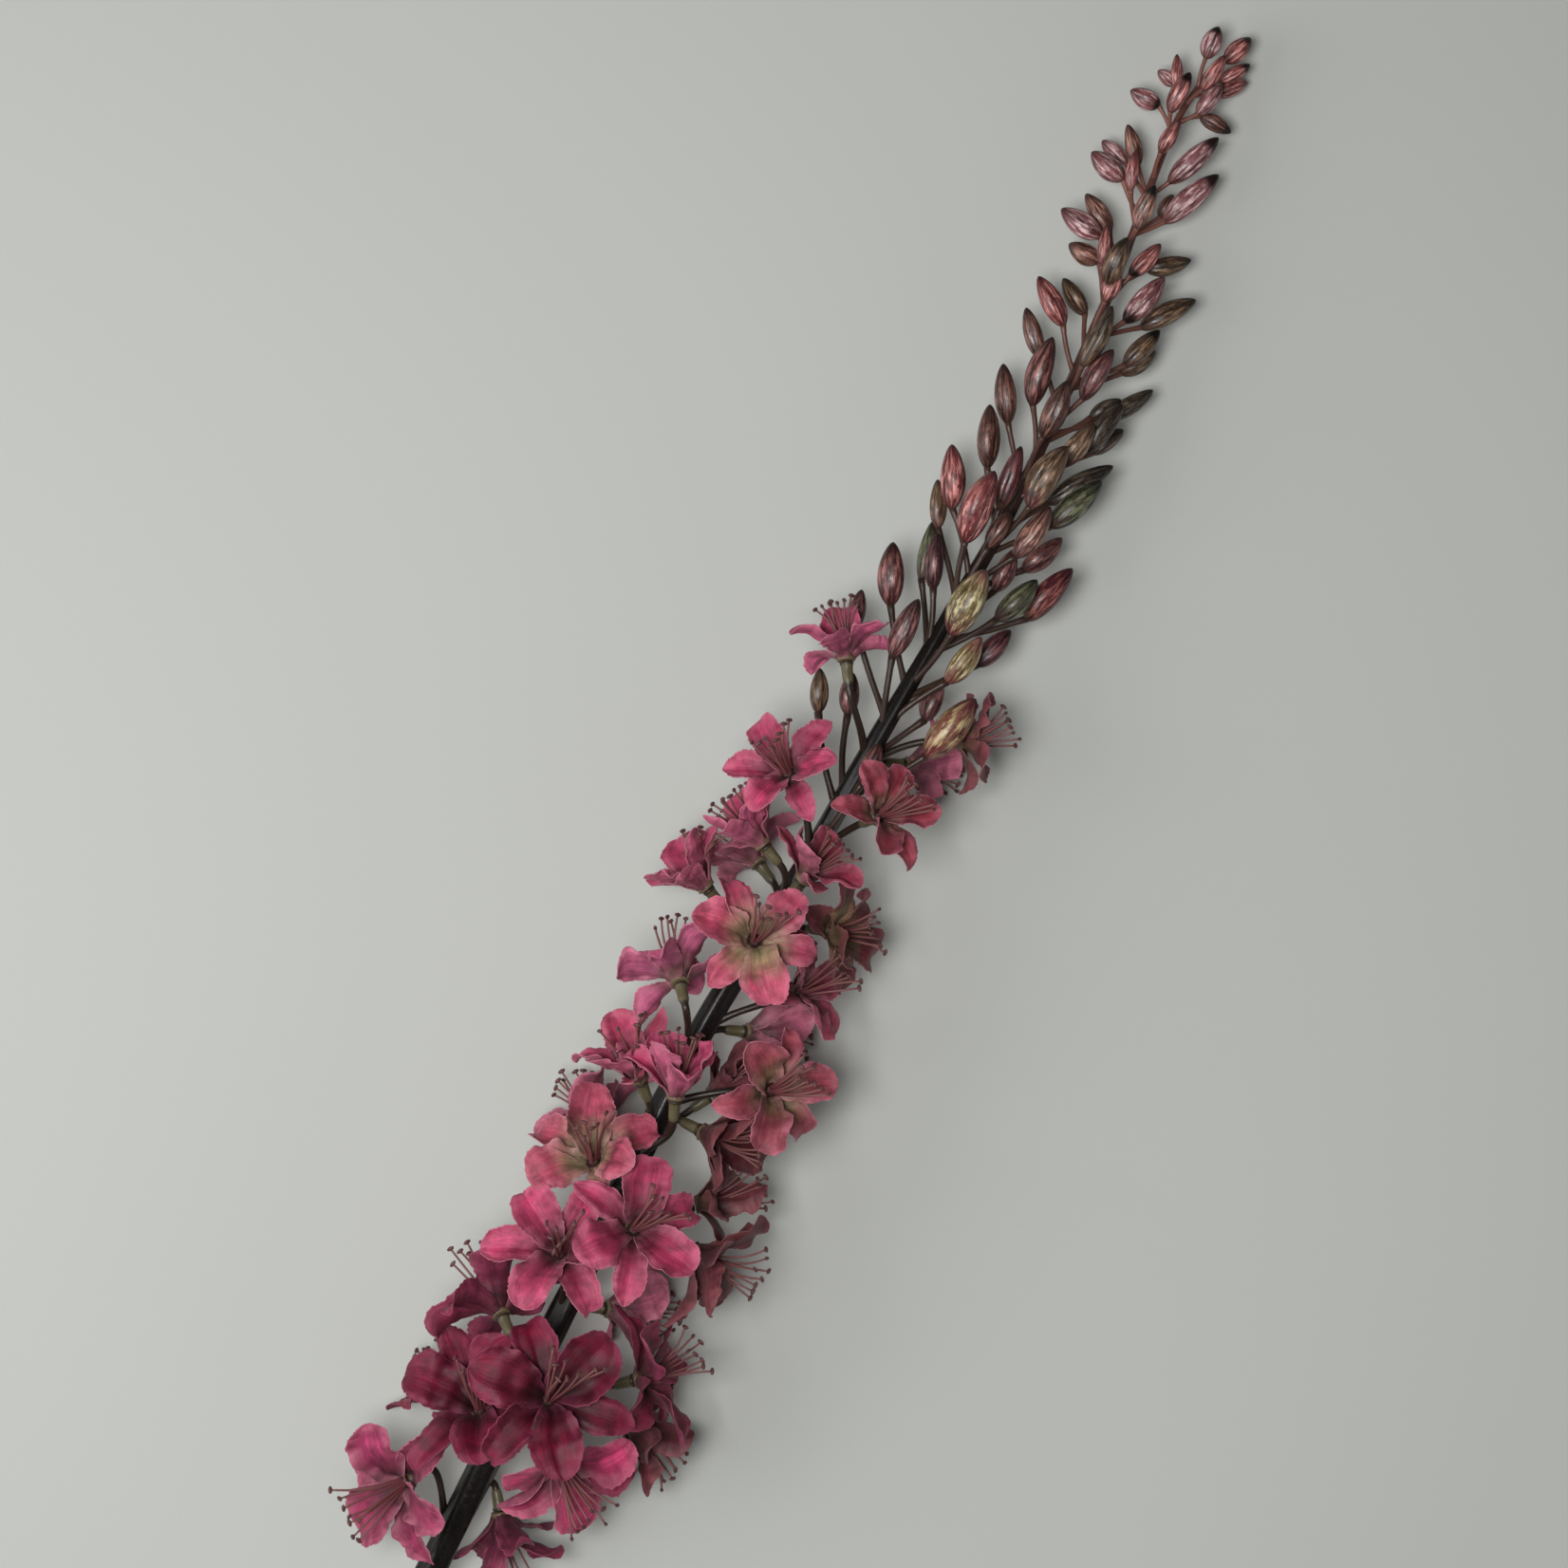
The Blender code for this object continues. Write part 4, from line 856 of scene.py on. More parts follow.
def mouldedPolyethylene(look):
    made, tree, shader = newMaterial(look["name"])
    around, paint, luck = (addNode(tree, "ShaderNodeAttribute", {"attribute_name": name}).outputs
                           for name in ("around", "paint", "luck"))
    patterns = mouldedPatterns(tree, around, luck, polyethylene["patterns"])
    flow, specks = patterns["flow"], patterns["specks"]
    tone = addNode(tree, "ShaderNodeMapRange", {}, {
        0: flow, 1: noiseLow, 2: noiseHigh, 3: 1 - look["flowTone"], 4: 1 + look["flowTone"]})
    toned = addNode(tree, "ShaderNodeVectorMath", {"operation": "SCALE"}, {
        0: paint["Color"], "Scale": tone.outputs[0]})
    speckLow, speckHigh = polyethylene["specksFrom"]
    speckMask = addNode(tree, "ShaderNodeMapRange", {}, {
        0: specks, 1: speckLow, 2: speckHigh, 3: 0.0, 4: look["speckShare"]})
    specked = addNode(tree, "ShaderNodeMix", {"data_type": "RGBA"}, {
        0: speckMask.outputs[0], 6: toned.outputs[0], 7: linear(look["speckDye"])})
    tree.links.new(specked.outputs[2], shader.inputs["Base Color"])
    strength, depth = polyethylene["bump"]
    bump = addNode(tree, "ShaderNodeBump", {}, {"Height": flow, "Strength": strength, "Distance": depth})
    tree.links.new(bump.outputs[0], shader.inputs["Normal"])
    smoothest, roughest = look["roughness"]
    gloss = addNode(tree, "ShaderNodeMapRange", {}, {
        0: specks, 1: noiseLow, 2: noiseHigh, 3: smoothest, 4: roughest})
    tree.links.new(gloss.outputs[0], shader.inputs["Roughness"])
    shader.inputs["IOR"].default_value = look["ior"]
    return made


# Stalks and the tubes that the blooms sit on
stalk = {
    "run": 17 * mm,
    "leave": 0.45,
    "outward": 0.27,
    "arrive": 0.4,
    "tubeLength": 6.4 * mm,
    "seatGap": 0.3 * mm,
    "sides": 14,
    "parts": 26,
    "radii": (1.3 * mm, 1.0 * mm, 1.08 * mm),      # at the stem, midway and at the tube
    "tube": [(0.0, 1.1), (0.5, 1.34), (1.1, 1.52), (3.2, 1.62), (5.3, 1.72), (5.6, 1.95), (6.0, 2.0),
             (6.3, 1.9), (6.4, 1.6)],
    "dye": "#2C2019",
    "tubeDye": "#5E573F",
    "rimDye": "#382F26",
    "rimFrom": 5.4,        # mm along the tube
}


def bezier(points, parts):
    made = []
    for i in range(parts + 1):
        t = i / parts
        shares = ((1 - t) ** 3, 3 * t * (1 - t) ** 2, 3 * t * t * (1 - t), t**3)
        made.append(sum((p * share for p, share in zip(points, shares)), Vector()))
    return made


def stalkParts(place, index):
    seat = place.throat - place.axis * (petal["bossDepth"] + stalk["seatGap"])
    foot = seat - place.axis * stalk["tubeLength"]
    start = stemAt(foot.x - stalk["run"])
    outward = foot - stemAt(foot.x)
    leave = start + stemDirection(start.x) * stalk["run"] * stalk["leave"] + outward * stalk["outward"]
    arrive = foot - place.axis * stalk["run"] * stalk["arrive"]
    points = bezier([start, leave, arrive, foot], stalk["parts"])[:-1]
    first, middle, last = stalk["radii"]
    radii, dyes = [], []
    for i in range(len(points)):
        half = 2 * i / stalk["parts"]
        radii.append(lerp(first, middle, min(1, half)) + max(0, half - 1) * (last - middle))
        dyes.append(linear(stalk["dye"]))
    for run, radius in stalk["tube"]:
        points.append(foot + place.axis * run * mm)
        radii.append(radius * mm)
        dyes.append(linear(stalk["rimDye"] if run > stalk["rimFrom"] or run == 0 else stalk["tubeDye"]))
    corners, around = tube(points, radii, stalk["sides"])
    return solidPiece(corners, around, stalk["sides"], np.repeat(dyes, stalk["sides"], axis=0), index * 3.7)


def stemParts():
    start, end = stem["knots"][0][0], stem["knots"][-1][0]
    count = round((end - start) / stem["step"])
    phase = random.Random(stem["seed"]).uniform(0, 6)
    skin, young = linear(stem["skin"]), linear(stem["young"])
    corners, around, paints = [], [], []
    for i in range(count + 1):
        x = lerp(start, end, i / count)
        middle, radius = stemAt(x), fromTable(stem["radii"], x)
        paint = lerp(skin, young, smooth(stem["oldSkinX"], end, x))
        for k in range(stem["sides"]):
            angle = math.tau * (k + 0.5) / stem["sides"]
            rib = math.cos(stem["ribs"] * (angle + stem["ribTwist"] * x)) - 1
            wobble = math.sin(stem["wobbleTwist"] * x + 2 * angle + phase)
            bulge = 1 + stem["ribDepth"] * rib + stem["wobble"] * wobble
            corner = middle + Vector((0, math.cos(angle), math.sin(angle))) * radius * bulge
            corner.z = max(corner.z, 0.0)
            corners.append(corner)
            around.append((math.cos(angle), math.sin(angle), x / mm))
            paints.append(paint)
    return solidPiece(corners, around, stem["sides"], paints, 0.0)


# The buds. One row each: foot and tip in the photograph; height of the foot over the stem's middle
# in mm; degrees that it rises out of the photograph; width in pixels; paint; and where it is black
Bud = namedtuple("Bud", "foot tip above rise width paint black")
shownBuds = [
    Bud((1270, 62), (1284, 28), 3, 5, 22, "pearl", "tip"),
    Bud((1290, 66), (1318, 40), 0, 0, 22, "dusty", "tip"),
    Bud((1266, 96), (1291, 58), 4.5, 10, 17, "dusty", "none"),
    Bud((1284, 86), (1317, 68), -2, 0, 17, "dusty", "tip"),
    Bud((1280, 100), (1314, 86), -4.5, -4, 18, "dusty", "none"),
    Bud((1261, 121), (1287, 89), 2.5, 8, 19, "pearl", "none"),
    Bud((1264, 122), (1297, 140), -1, -3, 18, "brown", "tip"),
    Bud((1231, 193), (1284, 145), 1, 3, 24, "pearl", "tip"),
    Bud((1226, 235), (1284, 184), -1.5, 0, 26, "pearl", "tip"),
    Bud((1232, 119), (1254, 76), 5, 12, 20, "dusty", "tip"),
    Bud((1239, 95), (1240, 57), 0, 5, 13, "rose", "none"),
    Bud((1238, 90), (1220, 74), -1, 0, 16, "pearl", "none"),
    Bud((1222, 112), (1191, 95), 0, 4, 22, "pearl", "foot"),
    Bud((1222, 162), (1243, 127), 6, 12, 17, "dusty", "none"),
    Bud((1184, 190), (1150, 160), 1.5, 6, 25, "pearl", "none"),
    Bud((1187, 172), (1161, 148), -2.5, 0, 19, "pearl", "none"),
    Bud((1199, 176), (1188, 131), -1, 2, 18, "tan", "none"),
    Bud((1191, 202), (1197, 158), 4.5, 8, 14, "rose", "none"),
    Bud((1197, 242), (1217, 195), 7, 14, 20, "tan", "tip"),
    Bud((1222, 230), (1236, 205), -4, -5, 17, "brown", "none"),
    Bud((1160, 250), (1118, 220), 2, 5, 26, "pearl", "none"),
    Bud((1170, 246), (1144, 204), -1.5, 0, 22, "tan", "none"),
    Bud((1159, 276), (1126, 257), 0, 3, 23, "tan", "none"),
    Bud((1160, 281), (1167, 236), 4.5, 8, 13, "rose", "none"),
    Bud((1167, 300), (1188, 250), 8, 14, 24, "olive", "none"),
    Bud((1164, 318), (1180, 286), 5, 5, 20, "dusty", "none"),
    Bud((1190, 291), (1223, 257), 1.5, 5, 20, "dusty", "foot"),
    Bud((1206, 284), (1255, 274), -2, -3, 21, "olive", "none"),
    Bud((1184, 340), (1227, 292), 1.5, 4, 25, "pearl", "foot"),
    Bud((1201, 346), (1260, 316), -2, -2, 24, "olive", "none"),
    Bud((1121, 344), (1094, 291), 1.5, 4, 24, "rose", "none"),
    Bud((1144, 332), (1120, 293), -2, 0, 21, "olive", "none"),
    Bud((1139, 387), (1172, 322), 8.5, 12, 22, "olive", "none"),
    Bud((1096, 378), (1081, 324), 0.5, 3, 20, "brown", "none"),
    Bud((1087, 428), (1109, 355), 5, 8, 28, "rust", "none"),
    Bud((1062, 447), (1057, 383), 0, 2, 24, "brown", "none"),
    Bud((1140, 422), (1173, 368), 6, 9, 24, "mauve", "none"),
    Bud((1184, 386), (1222, 348), 0, 0, 22, "olive", "tip"),
    Bud((1180, 394), (1218, 370), -4, -5, 22, "olive", "none"),
    Bud((1098, 462), (1125, 401), 8, 12, 26, "brown", "none"),
    Bud((1148, 441), (1181, 421), -3, -3, 18, "slate", "none"),
    Bud((1165, 442), (1215, 411), -5, -5, 20, "slate", "none"),
    Bud((1144, 477), (1183, 426), 1.5, 4, 22, "slate", "none"),
    Bud((1150, 478), (1184, 453), -4, -4, 20, "slate", "none"),
    Bud((1040, 494), (1043, 426), 1, 3, 25, "brown", "none"),
    Bud((1003, 537), (1003, 468), 1.5, 4, 27, "rose", "none"),
    Bud((1016, 572), (1048, 496), 8, 12, 34, "rose", "none"),
    Bud((1052, 538), (1076, 470), 5.5, 8, 22, "crimson", "none"),
    Bud((1084, 535), (1124, 470), 8, 10, 33, "ochre", "none"),
    Bud((1116, 492), (1153, 446), 4, 6, 24, "ochre", "none"),
    Bud((1103, 531), (1173, 491), -2, -2, 24, "slate", "none"),
    Bud((1106, 556), (1161, 507), 1, 2, 28, "moss", "none"),
    Bud((1069, 588), (1107, 534), 3.5, 6, 26, "tan", "none"),
    Bud((1077, 602), (1119, 567), -2.5, -2, 24, "rust", "none"),
    Bud((1040, 578), (1066, 538), 6, 8, 20, "brown", "none"),
    Bud((988, 558), (988, 505), -1.5, 0, 19, "ochre", "none"),
    Bud((970, 612), (983, 549), -2.5, -2, 19, "moss", "none"),
    Bud((983, 622), (988, 561), 2, 4, 21, "plum", "none"),
    Bud((1047, 624), (1069, 579), -2, 0, 23, "mauve", "none"),
    Bud((1002, 669), (1039, 600), 10, 12, 36, "lime", "none"),
    Bud((1049, 654), (1093, 611), 2, 4, 26, "moss", "none"),
    Bud((1080, 654), (1130, 599), -2, -2, 28, "crimson", "none"),
    Bud((1028, 702), (1065, 664), -4, -4, 24, "plum", "none"),
    Bud((997, 720), (1034, 671), 4, 7, 26, "lime", "none"),
    Bud((938, 639), (941, 571), 1, 3, 29, "rust", "none"),
    Bud((939, 693), (968, 631), 6, 8, 25, "mauve", "none"),
    Bud((862, 752), (864, 704), 0, 3, 20, "olive", "none"),
    Bud((893, 754), (898, 708), -3, 0, 22, "mauve", "none"),
    Bud((901, 662), (908, 621), -2, 0, 18, "rust", "none"),
    Bud((975, 798), (1028, 736), 7, 6, 35, "spotted", "none"),
    Bud((974, 760), (992, 716), -2, 0, 24, "mauve", "none"),
    Bud((908, 826), (927, 783), 7, 8, 21, "rust", "none"),
]
bud = {
    "zone": (236 * mm, 479 * mm),
    "runs": (24 * mm, 4 * mm),
    "ground": 0.2 * mm,
    "seed": 900,
    "rings": 30,
    "sides": 36,
    "gather": 0.07,           # rings gather towards both ends
    "fullest": 0.86,          # outline: sin(pi * t ** fullest) ** roundness
    "roundness": 0.6,
    "bow": 0.04,              # of its length
    "seams": 3,               # where its three petals meet
    "seamDepth": 0.12,
    "seamWidth": 0.13,
    "facets": 0.04,
    "tones": (0.88, 1.12),
    "seamShade": (0.7, 0.10),          # how dark, and how wide
    "facetShadeAndHighlight": (0.86, 1.06),       # from the seams to between them, lighter between them as a painted highlight
    "blackTip": (0.72, 0.84),          # where it turns black, as shares of the length
    "blackFoot": (0.12, 0.26),
    "blackness": 0.88,
    "stalkRadii": (1.0 * mm, 0.6 * mm),
    "stalkSides": 10,
    "stalkParts": 12,
    "stalkBow": 0.04,
    "stalkInside": 0.04,      # how far it runs into the bud
    "stalkYoung": (0.3, 0.95),
    "stalkDyes": ("#3A2A22", "#7E5046"),
}
# Foot, middle and tip of each paint, and the pale streaks brushed along it, partly painted highlight
budPaints = {
    "pearl": ("#693833", "#845052", "#602F33", "#FAD3D3"),
    "dusty": ("#572E28", "#703C3A", "#502727", "#F9A8A0"),
    "tan": ("#543334", "#624337", "#48302A", "#D19889"),
    "brown": ("#3A231E", "#4A2D26", "#2E1D1A", "#9C6C5F"),
    "rust": ("#3D2220", "#4E2C28", "#341A19", "#B0726D"),
    "olive": ("#3F2821", "#453326", "#2A2018", "#97785C"),
    "slate": ("#30221D", "#322720", "#1F1815", "#736454"),
    "moss": ("#402428", "#42402B", "#25261C", "#8B8E6E"),
    "lime": ("#672330", "#77643F", "#7E4E48", "#EADCAC"),
    "rose": ("#5C2B2A", "#753737", "#4D1F21", "#F2A59D"),
    "spotted": ("#6A2A32", "#78493C", "#5A2630", "#D2BE8C"),
    "plum": ("#2E191B", "#3A1E21", "#241315", "#8D5353"),
    "mauve": ("#3F2526", "#4F302F", "#351D1E", "#AA716D"),
    "crimson": ("#3C2D1E", "#4A1E24", "#38131A", "#A8605A"),
    "ochre": ("#572D36", "#533D2C", "#3F2E24", "#B18F74"),
}


def budEnds(row):
    width = row.width * photo["pixel"]
    level = fromPhoto(row.foot, photo["eyeLevel"])
    foot = fromPhoto(row.foot, stemAt(level.x).z + row.above * mm)
    reach = (fromPhoto(row.tip, photo["eyeLevel"]) - level).length
    tip = fromPhoto(row.tip, foot.z + reach * math.tan(math.radians(row.rise)))
    foot.z = max(foot.z, width / 2 + bud["ground"])
    tip.z = max(tip.z, width / 2 + bud["ground"])
    return foot, tip, width


def budBody(index, row, foot, turn, length, width, neck, tone, luck):
    # An oval with a groove at each seam, its paint brushed from foot to tip
    t = np.linspace(0, 1, bud["rings"] + 1)
    t = np.clip(t - bud["gather"] * np.sin(math.tau * t), 0, 1)
    profile = np.sin(np.pi * np.minimum(t, 0.999) ** bud["fullest"]) ** bud["roundness"]
    profile = np.maximum(profile, neck / (width / 2) * (1 - t) ** 2)
    angle = np.arange(bud["sides"]) * math.tau / bud["sides"]
    seam = np.abs((angle * bud["seams"] / math.tau + 0.5) % 1 - 0.5) * 2       # 0 at a seam
    groove = bud["seamDepth"] * np.exp(-(seam / bud["seamWidth"]) ** 2)
    groove = groove + bud["facets"] * np.cos(math.pi * seam)
    radius = width / 2 * profile[:, None] * (1 - groove * np.sin(np.pi * t[:, None]) ** 0.4)
    bow = luck.uniform(-bud["bow"], bud["bow"]) * length * np.sin(np.pi * t[:, None])
    local = np.stack(np.broadcast_arrays(
        np.cos(angle) * radius + bow, np.sin(angle) * radius, t[:, None] * length), axis=-1)
    corners = local.reshape(-1, 3) @ np.array(turn).T + np.array(foot)
    around = np.stack(np.broadcast_arrays(
        np.cos(angle), np.sin(angle), t[:, None] * length / mm), axis=-1).reshape(-1, 3)

    # Its paint goes from the foot's to the middle's to the tip's, with painted shade at the seams and ends
    # and a painted highlight between the seams
    base, middle, end, streakAndHighlight = (linear(colour) for colour in budPaints[row.paint])
    rise = smooth(luck.uniform(-0.05, 0.1), luck.uniform(0.35, 0.55), t)[:, None]
    over = smooth(luck.uniform(0.5, 0.7), luck.uniform(0.9, 1.0), t)[:, None]
    paint = lerp(lerp(base, middle, rise), end, over)[:, None, :]
    seamDark, seamWide = bud["seamShade"]
    shadeAndHighlight = lerp(*bud["facetShadeAndHighlight"], seam) * (1 - seamDark * np.exp(-(seam / seamWide) ** 2))
    ends = 1 - 0.45 * smooth(0.9, 1.0, t) - 0.3 * (1 - smooth(0.0, 0.08, t))
    black = {
        "none": 0 * t,
        "tip": smooth(*bud["blackTip"], t),
        "foot": 1 - smooth(*bud["blackFoot"], t),
    }[row.black]
    paint = paint * (ends * (1 - bud["blackness"] * black))[:, None, None] * shadeAndHighlight[None, :, None] * tone
    made = solidPiece(corners, around, bud["sides"], paint.reshape(-1, 4), index * 5.3)
    # The pale streaks, partly painted highlight, fade towards both ends and where it is black
    fade = np.repeat(np.sin(np.pi * t ** 0.8) * (1 - black), bud["sides"])
    made["streakAndHighlight"] = np.column_stack([np.tile(streakAndHighlight[:3], (len(fade), 1)), fade])
    return made


def budStalk(index, start, foot, side, inside, radius, share, tone):
    # Bowed a little, and wider at both ends
    points, radii = [], []
    for i in range(bud["stalkParts"] + 1):
        s = i / bud["stalkParts"]
        bow = side * math.sin(math.pi * s) * bud["stalkBow"] * (foot - start).length
        points.append(start.lerp(foot + inside, s) + bow)
        radii.append(radius * (1.0 + 0.3 * smooth(0.8, 1.0, s) + 0.3 * (1 - smooth(0.0, 0.3, s))))
    corners, around = tube(points, radii, bud["stalkSides"])
    old, fresh = (linear(colour) for colour in bud["stalkDyes"])
    dye = lerp(old, fresh, smooth(*bud["stalkYoung"], share)) * tone
    return solidPiece(corners, around, bud["stalkSides"], dye, index * 2.9)


def budParts(index, row):
    foot, tip, width = budEnds(row)
    near = min(foot.x, bud["zone"][1])
    share = (near - bud["zone"][0]) / (bud["zone"][1] - bud["zone"][0])
    start = stemAt(near - lerp(*bud["runs"], share))
    radius = lerp(*bud["stalkRadii"], share)
    length = (tip - foot).length
    direction = (tip - foot) / length
    luck = random.Random(bud["seed"] + index)
    turn = facing(direction, luck.uniform(0, math.tau))
    tone = luck.uniform(*bud["tones"])
    body = budBody(index, row, foot, turn, length, width, radius, tone, luck)
    inside = direction * length * bud["stalkInside"]
    return body, budStalk(index, start, foot, turn @ Vector((1, 0, 0)), inside, radius, share, tone)


# Stamens: moulded threads from a small crown in the throat, each ending in a crosswise anther
stamen = {
    "fans": [(-14, 8), (20, -4), (-30, -14), (4, 22)],
    "between": [(0, 3), (1, 3), (0, 2), (0, 1)],
    "length": 0.92,
    "knee": 0.45,
    "knob": 0.95 * mm,
    "rootSpread": 0.05 * mm,
    "same": 0.02 * mm,
    "radii": (0.42 * mm, 0.31 * mm),
    "sides": 7,
    "parts": 14,
    "anther": (1.15 * mm, 0.60 * mm, 0.55 * mm),
    "antherAbove": 0.2 * mm,
    "antherRings": 8,
    "antherSides": 8,
    "wander": 0.09,
    "seed": 7,
    "seedStep": 31,
    "sunk": 1.2 * mm,         # how far it starts inside the crown
    "stretch": 1.25,          # the most that one between two others is stretched
    "dye": ("#763A42", "#80544F"),
    "antherDye": "#5E3836",
    "crownDye": "#341C1A",
    "collarDye": "#6A5A44",
    "crown": [(-2.1, 2.45), (-1.9, 2.7), (-1.2, 2.62), (-0.5, 2.3), (-0.2, 1.9), (0.25, 1.75),
              (0.75, 1.5), (1.0, 1.1), (1.05, 0.7), (0.85, 0.4), (0.8, 0.05)],     # height and radius, mm
    "crownSides": 20,
    "crownFrom": -0.4,        # mm; below it is the collar
    "crownLobes": 0.06,
}


def stamenKnots(place, fan, bend):
    side = place.stamens.cross(Vector((0, 0, 1))).normalized()
    direction = place.stamens.copy()
    direction.rotate(Matrix.Rotation(math.radians(fan[1] + bend.lift), 3, side))
    direction.rotate(Matrix.Rotation(math.radians(fan[0] + bend.swing), 3, "Z"))
    length = place.petal * stamen["length"] * bend.shrink
    apart = (side.cross(place.stamens) * fan[1] - side * fan[0]) * stamen["rootSpread"]
    root = place.throat + apart - place.axis * apart.dot(place.axis)
    knee = root + (place.axis + direction).normalized() * length * stamen["knee"]
    end = knee + direction * length * (1 - stamen["knee"])
    for point in (knee, end):
        point.z = max(point.z, stamen["knob"])
    return root, knee, end


def packedStamens(place, corners):
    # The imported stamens, found by the three corners round each one's knob
    found = {}
    for number, fan in enumerate(stamen["fans"]):
        for shrink in petal["shrinks"]:
            for lift in petal["lifts"]:
                for swing in petal["swings"]:
                    knots = stamenKnots(place, fan, Bend(lift, swing, shrink))
                    nearest = corners.find_n(knots[2], 3)
                    fits = all(abs(near[2] - stamen["knob"]) < stamen["same"] for near in nearest)
                    if fits and number not in found:
                        found[number] = knots
    return found


def ball(middle, axes, sizes, rings, sides):
    corners, around = [], []
    for i in reversed(range(rings + 1)):
        polar = math.pi * (i + 0.02) / (rings + 0.04)
        for k in range(sides):
            cosine, sine = math.cos(math.tau * k / sides), math.sin(math.tau * k / sides)
            local = (math.cos(polar) * sizes[0], math.sin(polar) * cosine * sizes[1],
                     math.sin(polar) * sine * sizes[2])
            corners.append(middle + sum((axis * value for axis, value in zip(axes, local)), Vector()))
            around.append((cosine, sine, i * 0.3))       # rings about 0.3 mm apart
    return corners, around


def stamenCourses(place, corners, luck):
    # Root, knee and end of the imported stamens, and of finer ones between them
    found = packedStamens(place, corners)
    courses = list(found.values())
    for a, b in stamen["between"]:
        if a in found and b in found:
            root, knee, end = (p.lerp(q, luck.uniform(0.42, 0.58)) for p, q in zip(found[a], found[b]))
            reach = place.petal * stamen["length"] * luck.uniform(0.92, 1.12)
            scale = min(reach / max((end - root).length, mm), stamen["stretch"])
            courses.append((root, root + (knee - root) * scale, root + (end - root) * scale))
    return courses


def stamenThread(place, root, knee, end, luck):
    # A curved thread and its anther, which lies across the thread's tip
    start = root - place.axis * stamen["sunk"]
    across = (end - root).orthogonal().normalized()
    across.rotate(Matrix.Rotation(luck.uniform(0, math.tau), 3, (end - root).normalized()))
    wander = luck.uniform(0.3, 1) * stamen["wander"] * (end - root).length
    low, high = (linear(colour) for colour in stamen["dye"])
    points, radii, dyes = [], [], []
    for i in range(stamen["parts"] + 1):
        t = i / stamen["parts"]
        bent = start * (1 - t) ** 2 + (knee * 2 - (start + end) / 2) * 2 * t * (1 - t) + end * t * t
        points.append(bent + across * wander * math.sin(math.pi * t) * t)
        radii.append(lerp(*stamen["radii"], t))
        dyes += [lerp(low, high, t)] * stamen["sides"]
    corners, around = tube(points, radii, stamen["sides"])
    seed = luck.uniform(0, 40)
    thread = solidPiece(corners, around, stamen["sides"], dyes, seed)
    tip = (points[-1] - points[-2]).normalized()
    bar = tip.orthogonal().normalized()
    bar.rotate(Matrix.Rotation(luck.uniform(0, math.tau), 3, tip))
    corners, around = ball(points[-1] + tip * stamen["antherAbove"], (bar, tip, bar.cross(tip)),
                           stamen["anther"], stamen["antherRings"], stamen["antherSides"])
    for corner in corners:
        corner.z = max(corner.z, sheet["clear"])       # none reaches below the surface
    anther = solidPiece(corners, around, stamen["antherSides"], linear(stamen["antherDye"]), seed)
    return [thread, anther]


def throatCrown(place, index):
    # The crown in the throat and the collar under the petals
    corners, around, dyes = [], [], []
    for height, radius in stamen["crown"]:
        point = place.throat + place.axis * height * mm
        dye = linear(stamen["crownDye"] if height > stamen["crownFrom"] else stamen["collarDye"])
        for k in range(stamen["crownSides"]):
            angle = math.tau * k / stamen["crownSides"]
            lobe = 1 + stamen["crownLobes"] * math.cos(petal["count"] * angle) * (height > 0)
            outward = place.turn @ Vector((math.cos(angle), math.sin(angle), 0))
            corners.append(point + outward * radius * lobe * mm)
            around.append((math.cos(angle), math.sin(angle), height))
            dyes.append(dye)
    return solidPiece(corners, around, stamen["crownSides"], dyes, index * 1.3)


def stamenParts(place, index, corners):
    luck = random.Random(stamen["seedStep"] * index + stamen["seed"])
    parts = []
    for root, knee, end in stamenCourses(place, corners, luck):
        parts += stamenThread(place, root, knee, end, luck)
    return [*parts, throatCrown(place, index)]


# Finishes
petalCloth = {name: dyedPolyester(name) for name in polyester["frayAndHighlightColour"]}
stemMould = mouldedPolyethylene(polyethylene["stem"])
budMould = brushedBud("brushed_moulded_polyethylene_bud")
threadMould = mouldedPolyethylene(polyethylene["stamen"])

places = bloomPlaces()
makePiece("stem", [stemParts()], stemMould, "stem_with_buds")
makePiece("stalks", [stalkParts(place, i) for i, place in enumerate(places)], stemMould,
          "stem_with_buds")
print("stem and stalks made")
budBodies, budStalks = zip(*(budParts(i, row) for i, row in enumerate(shownBuds)))
makePiece("buds", budBodies, budMould, "stem_with_buds")
makePiece("bud_stalks", budStalks, stemMould, "stem_with_buds")
print("buds made")
for index, place in enumerate(places):
    node = f"bloom_{index + 1:02d}"
    corners = nodeCorners(node)
    sheets = []
    for number in range(petal["count"]):
        draw = petalDraw(index, number)
        bend = petalBend(place, number, draw, corners)
        if bend:
            sheets.append(petalSheet(place, index, number, draw, bend))
    makePiece(f"{node}_petals", sheets, petalCloth[place.slot], node)
    threads = stamenParts(place, index, corners)
    makePiece(f"{node}_stamens", threads, threadMould, node)
    print(node, len(sheets), "petals", (len(threads) - 1) // 2, "stamens")

# The floor, the lights and the camera
studio = {
    "floor": "#C3C5C0",
    "floorRoughness": 0.9,
    "floorSize": 6.0,
    "floorGrain": 6.66667 * mm,
    "world": "#D6D8DA",
    "worldStrength": 0.10,
    "key": (7.9, 0.32, (-0.18, -0.04, 1.06)),      # watts, size, and right, up and out from the middle
    "fill": (4.2, 0.8, (-0.80, -0.08, 0.52)),
    "low": (0.8, 0.8, (0.72, -0.50, 0.24)),
    "lens": 85,            # mm
    "sensor": 36,
}


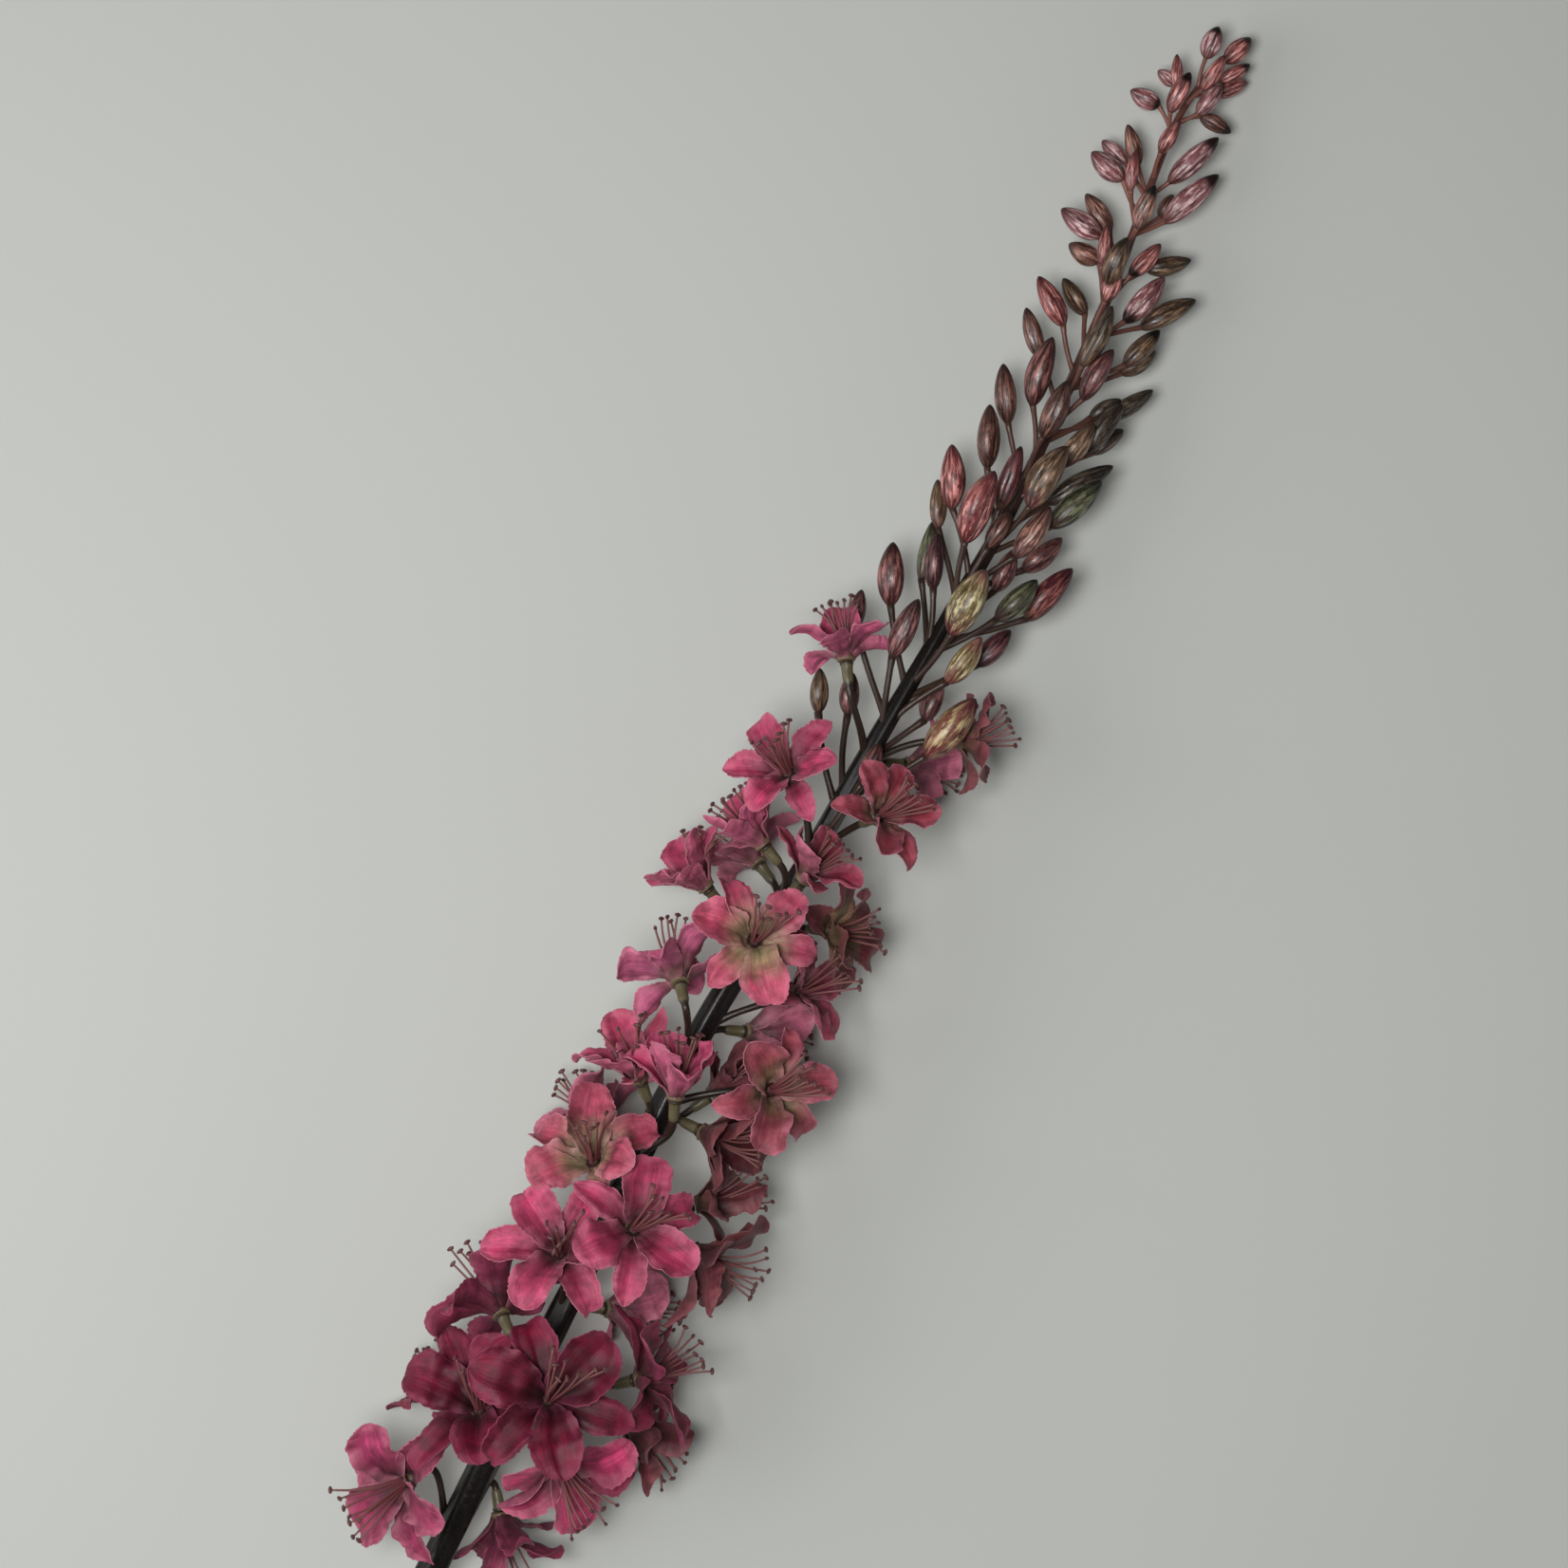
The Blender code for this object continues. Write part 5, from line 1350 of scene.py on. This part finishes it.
def paintedBoard():
    # Roller grain, too fine to show as more than a tone, without gloss
    made, tree, shader = newMaterial("painted_board")
    scale = studio["floorSize"] / studio["floorGrain"]
    grain = addNode(tree, "ShaderNodeTexNoise", {}, {"Scale": scale, "Detail": 2.0})
    bump = addNode(tree, "ShaderNodeBump", {}, {
        "Height": grain.outputs[0], "Strength": 0.05, "Distance": 0.1 * mm})
    tree.links.new(bump.outputs[0], shader.inputs["Normal"])
    shader.inputs["Base Color"].default_value = linear(studio["floor"])
    shader.inputs["Roughness"].default_value = studio["floorRoughness"]
    return made


half = studio["floorSize"] / 2
floorMesh = bpy.data.meshes.new("floor")
floorCorners = [(-half, -half, 0), (half, -half, 0), (half, half, 0), (-half, half, 0)]
floorMesh.from_pydata(floorCorners, [], [(0, 1, 2, 3)])
floorMesh.materials.append(paintedBoard())
floor = bpy.data.objects.new("floor", floorMesh)
bpy.context.scene.collection.objects.link(floor)

centre = fromPhoto((photo["side"] / 2, photo["side"] / 2), photo["eyeLevel"]) + shift
for name in ("key", "fill", "low"):
    watts, size, offset = studio[name]
    lamp = bpy.data.lights.new(name, "AREA")
    lamp.energy, lamp.size = watts, size
    light = bpy.data.objects.new(name, lamp)
    light.location = centre + fromView(*offset)
    light.rotation_euler = (centre - light.location).to_track_quat("-Z", "Y").to_euler()
    bpy.context.scene.collection.objects.link(light)

world = bpy.data.worlds.new("soft grey room")
world.use_nodes = True
world.node_tree.nodes["Background"].inputs["Color"].default_value = linear(studio["world"])
world.node_tree.nodes["Background"].inputs["Strength"].default_value = studio["worldStrength"]
bpy.context.scene.world = world
bpy.context.scene.view_settings.view_transform = "Standard"

camera = bpy.data.objects.new("camera", bpy.data.cameras.new("camera"))
camera.data.lens, camera.data.sensor_width = studio["lens"], studio["sensor"]
distance = photo["side"] * photo["pixel"] * studio["lens"] / studio["sensor"]
turn = Matrix((fromView(1, 0, 0), fromView(0, 1, 0), fromView(0, 0, 1))).transposed()
camera.matrix_world = Matrix.Translation(centre + Vector((0, 0, distance))) @ turn.to_4x4()
bpy.context.scene.collection.objects.link(camera)
bpy.context.scene.camera = camera
print("studio set")
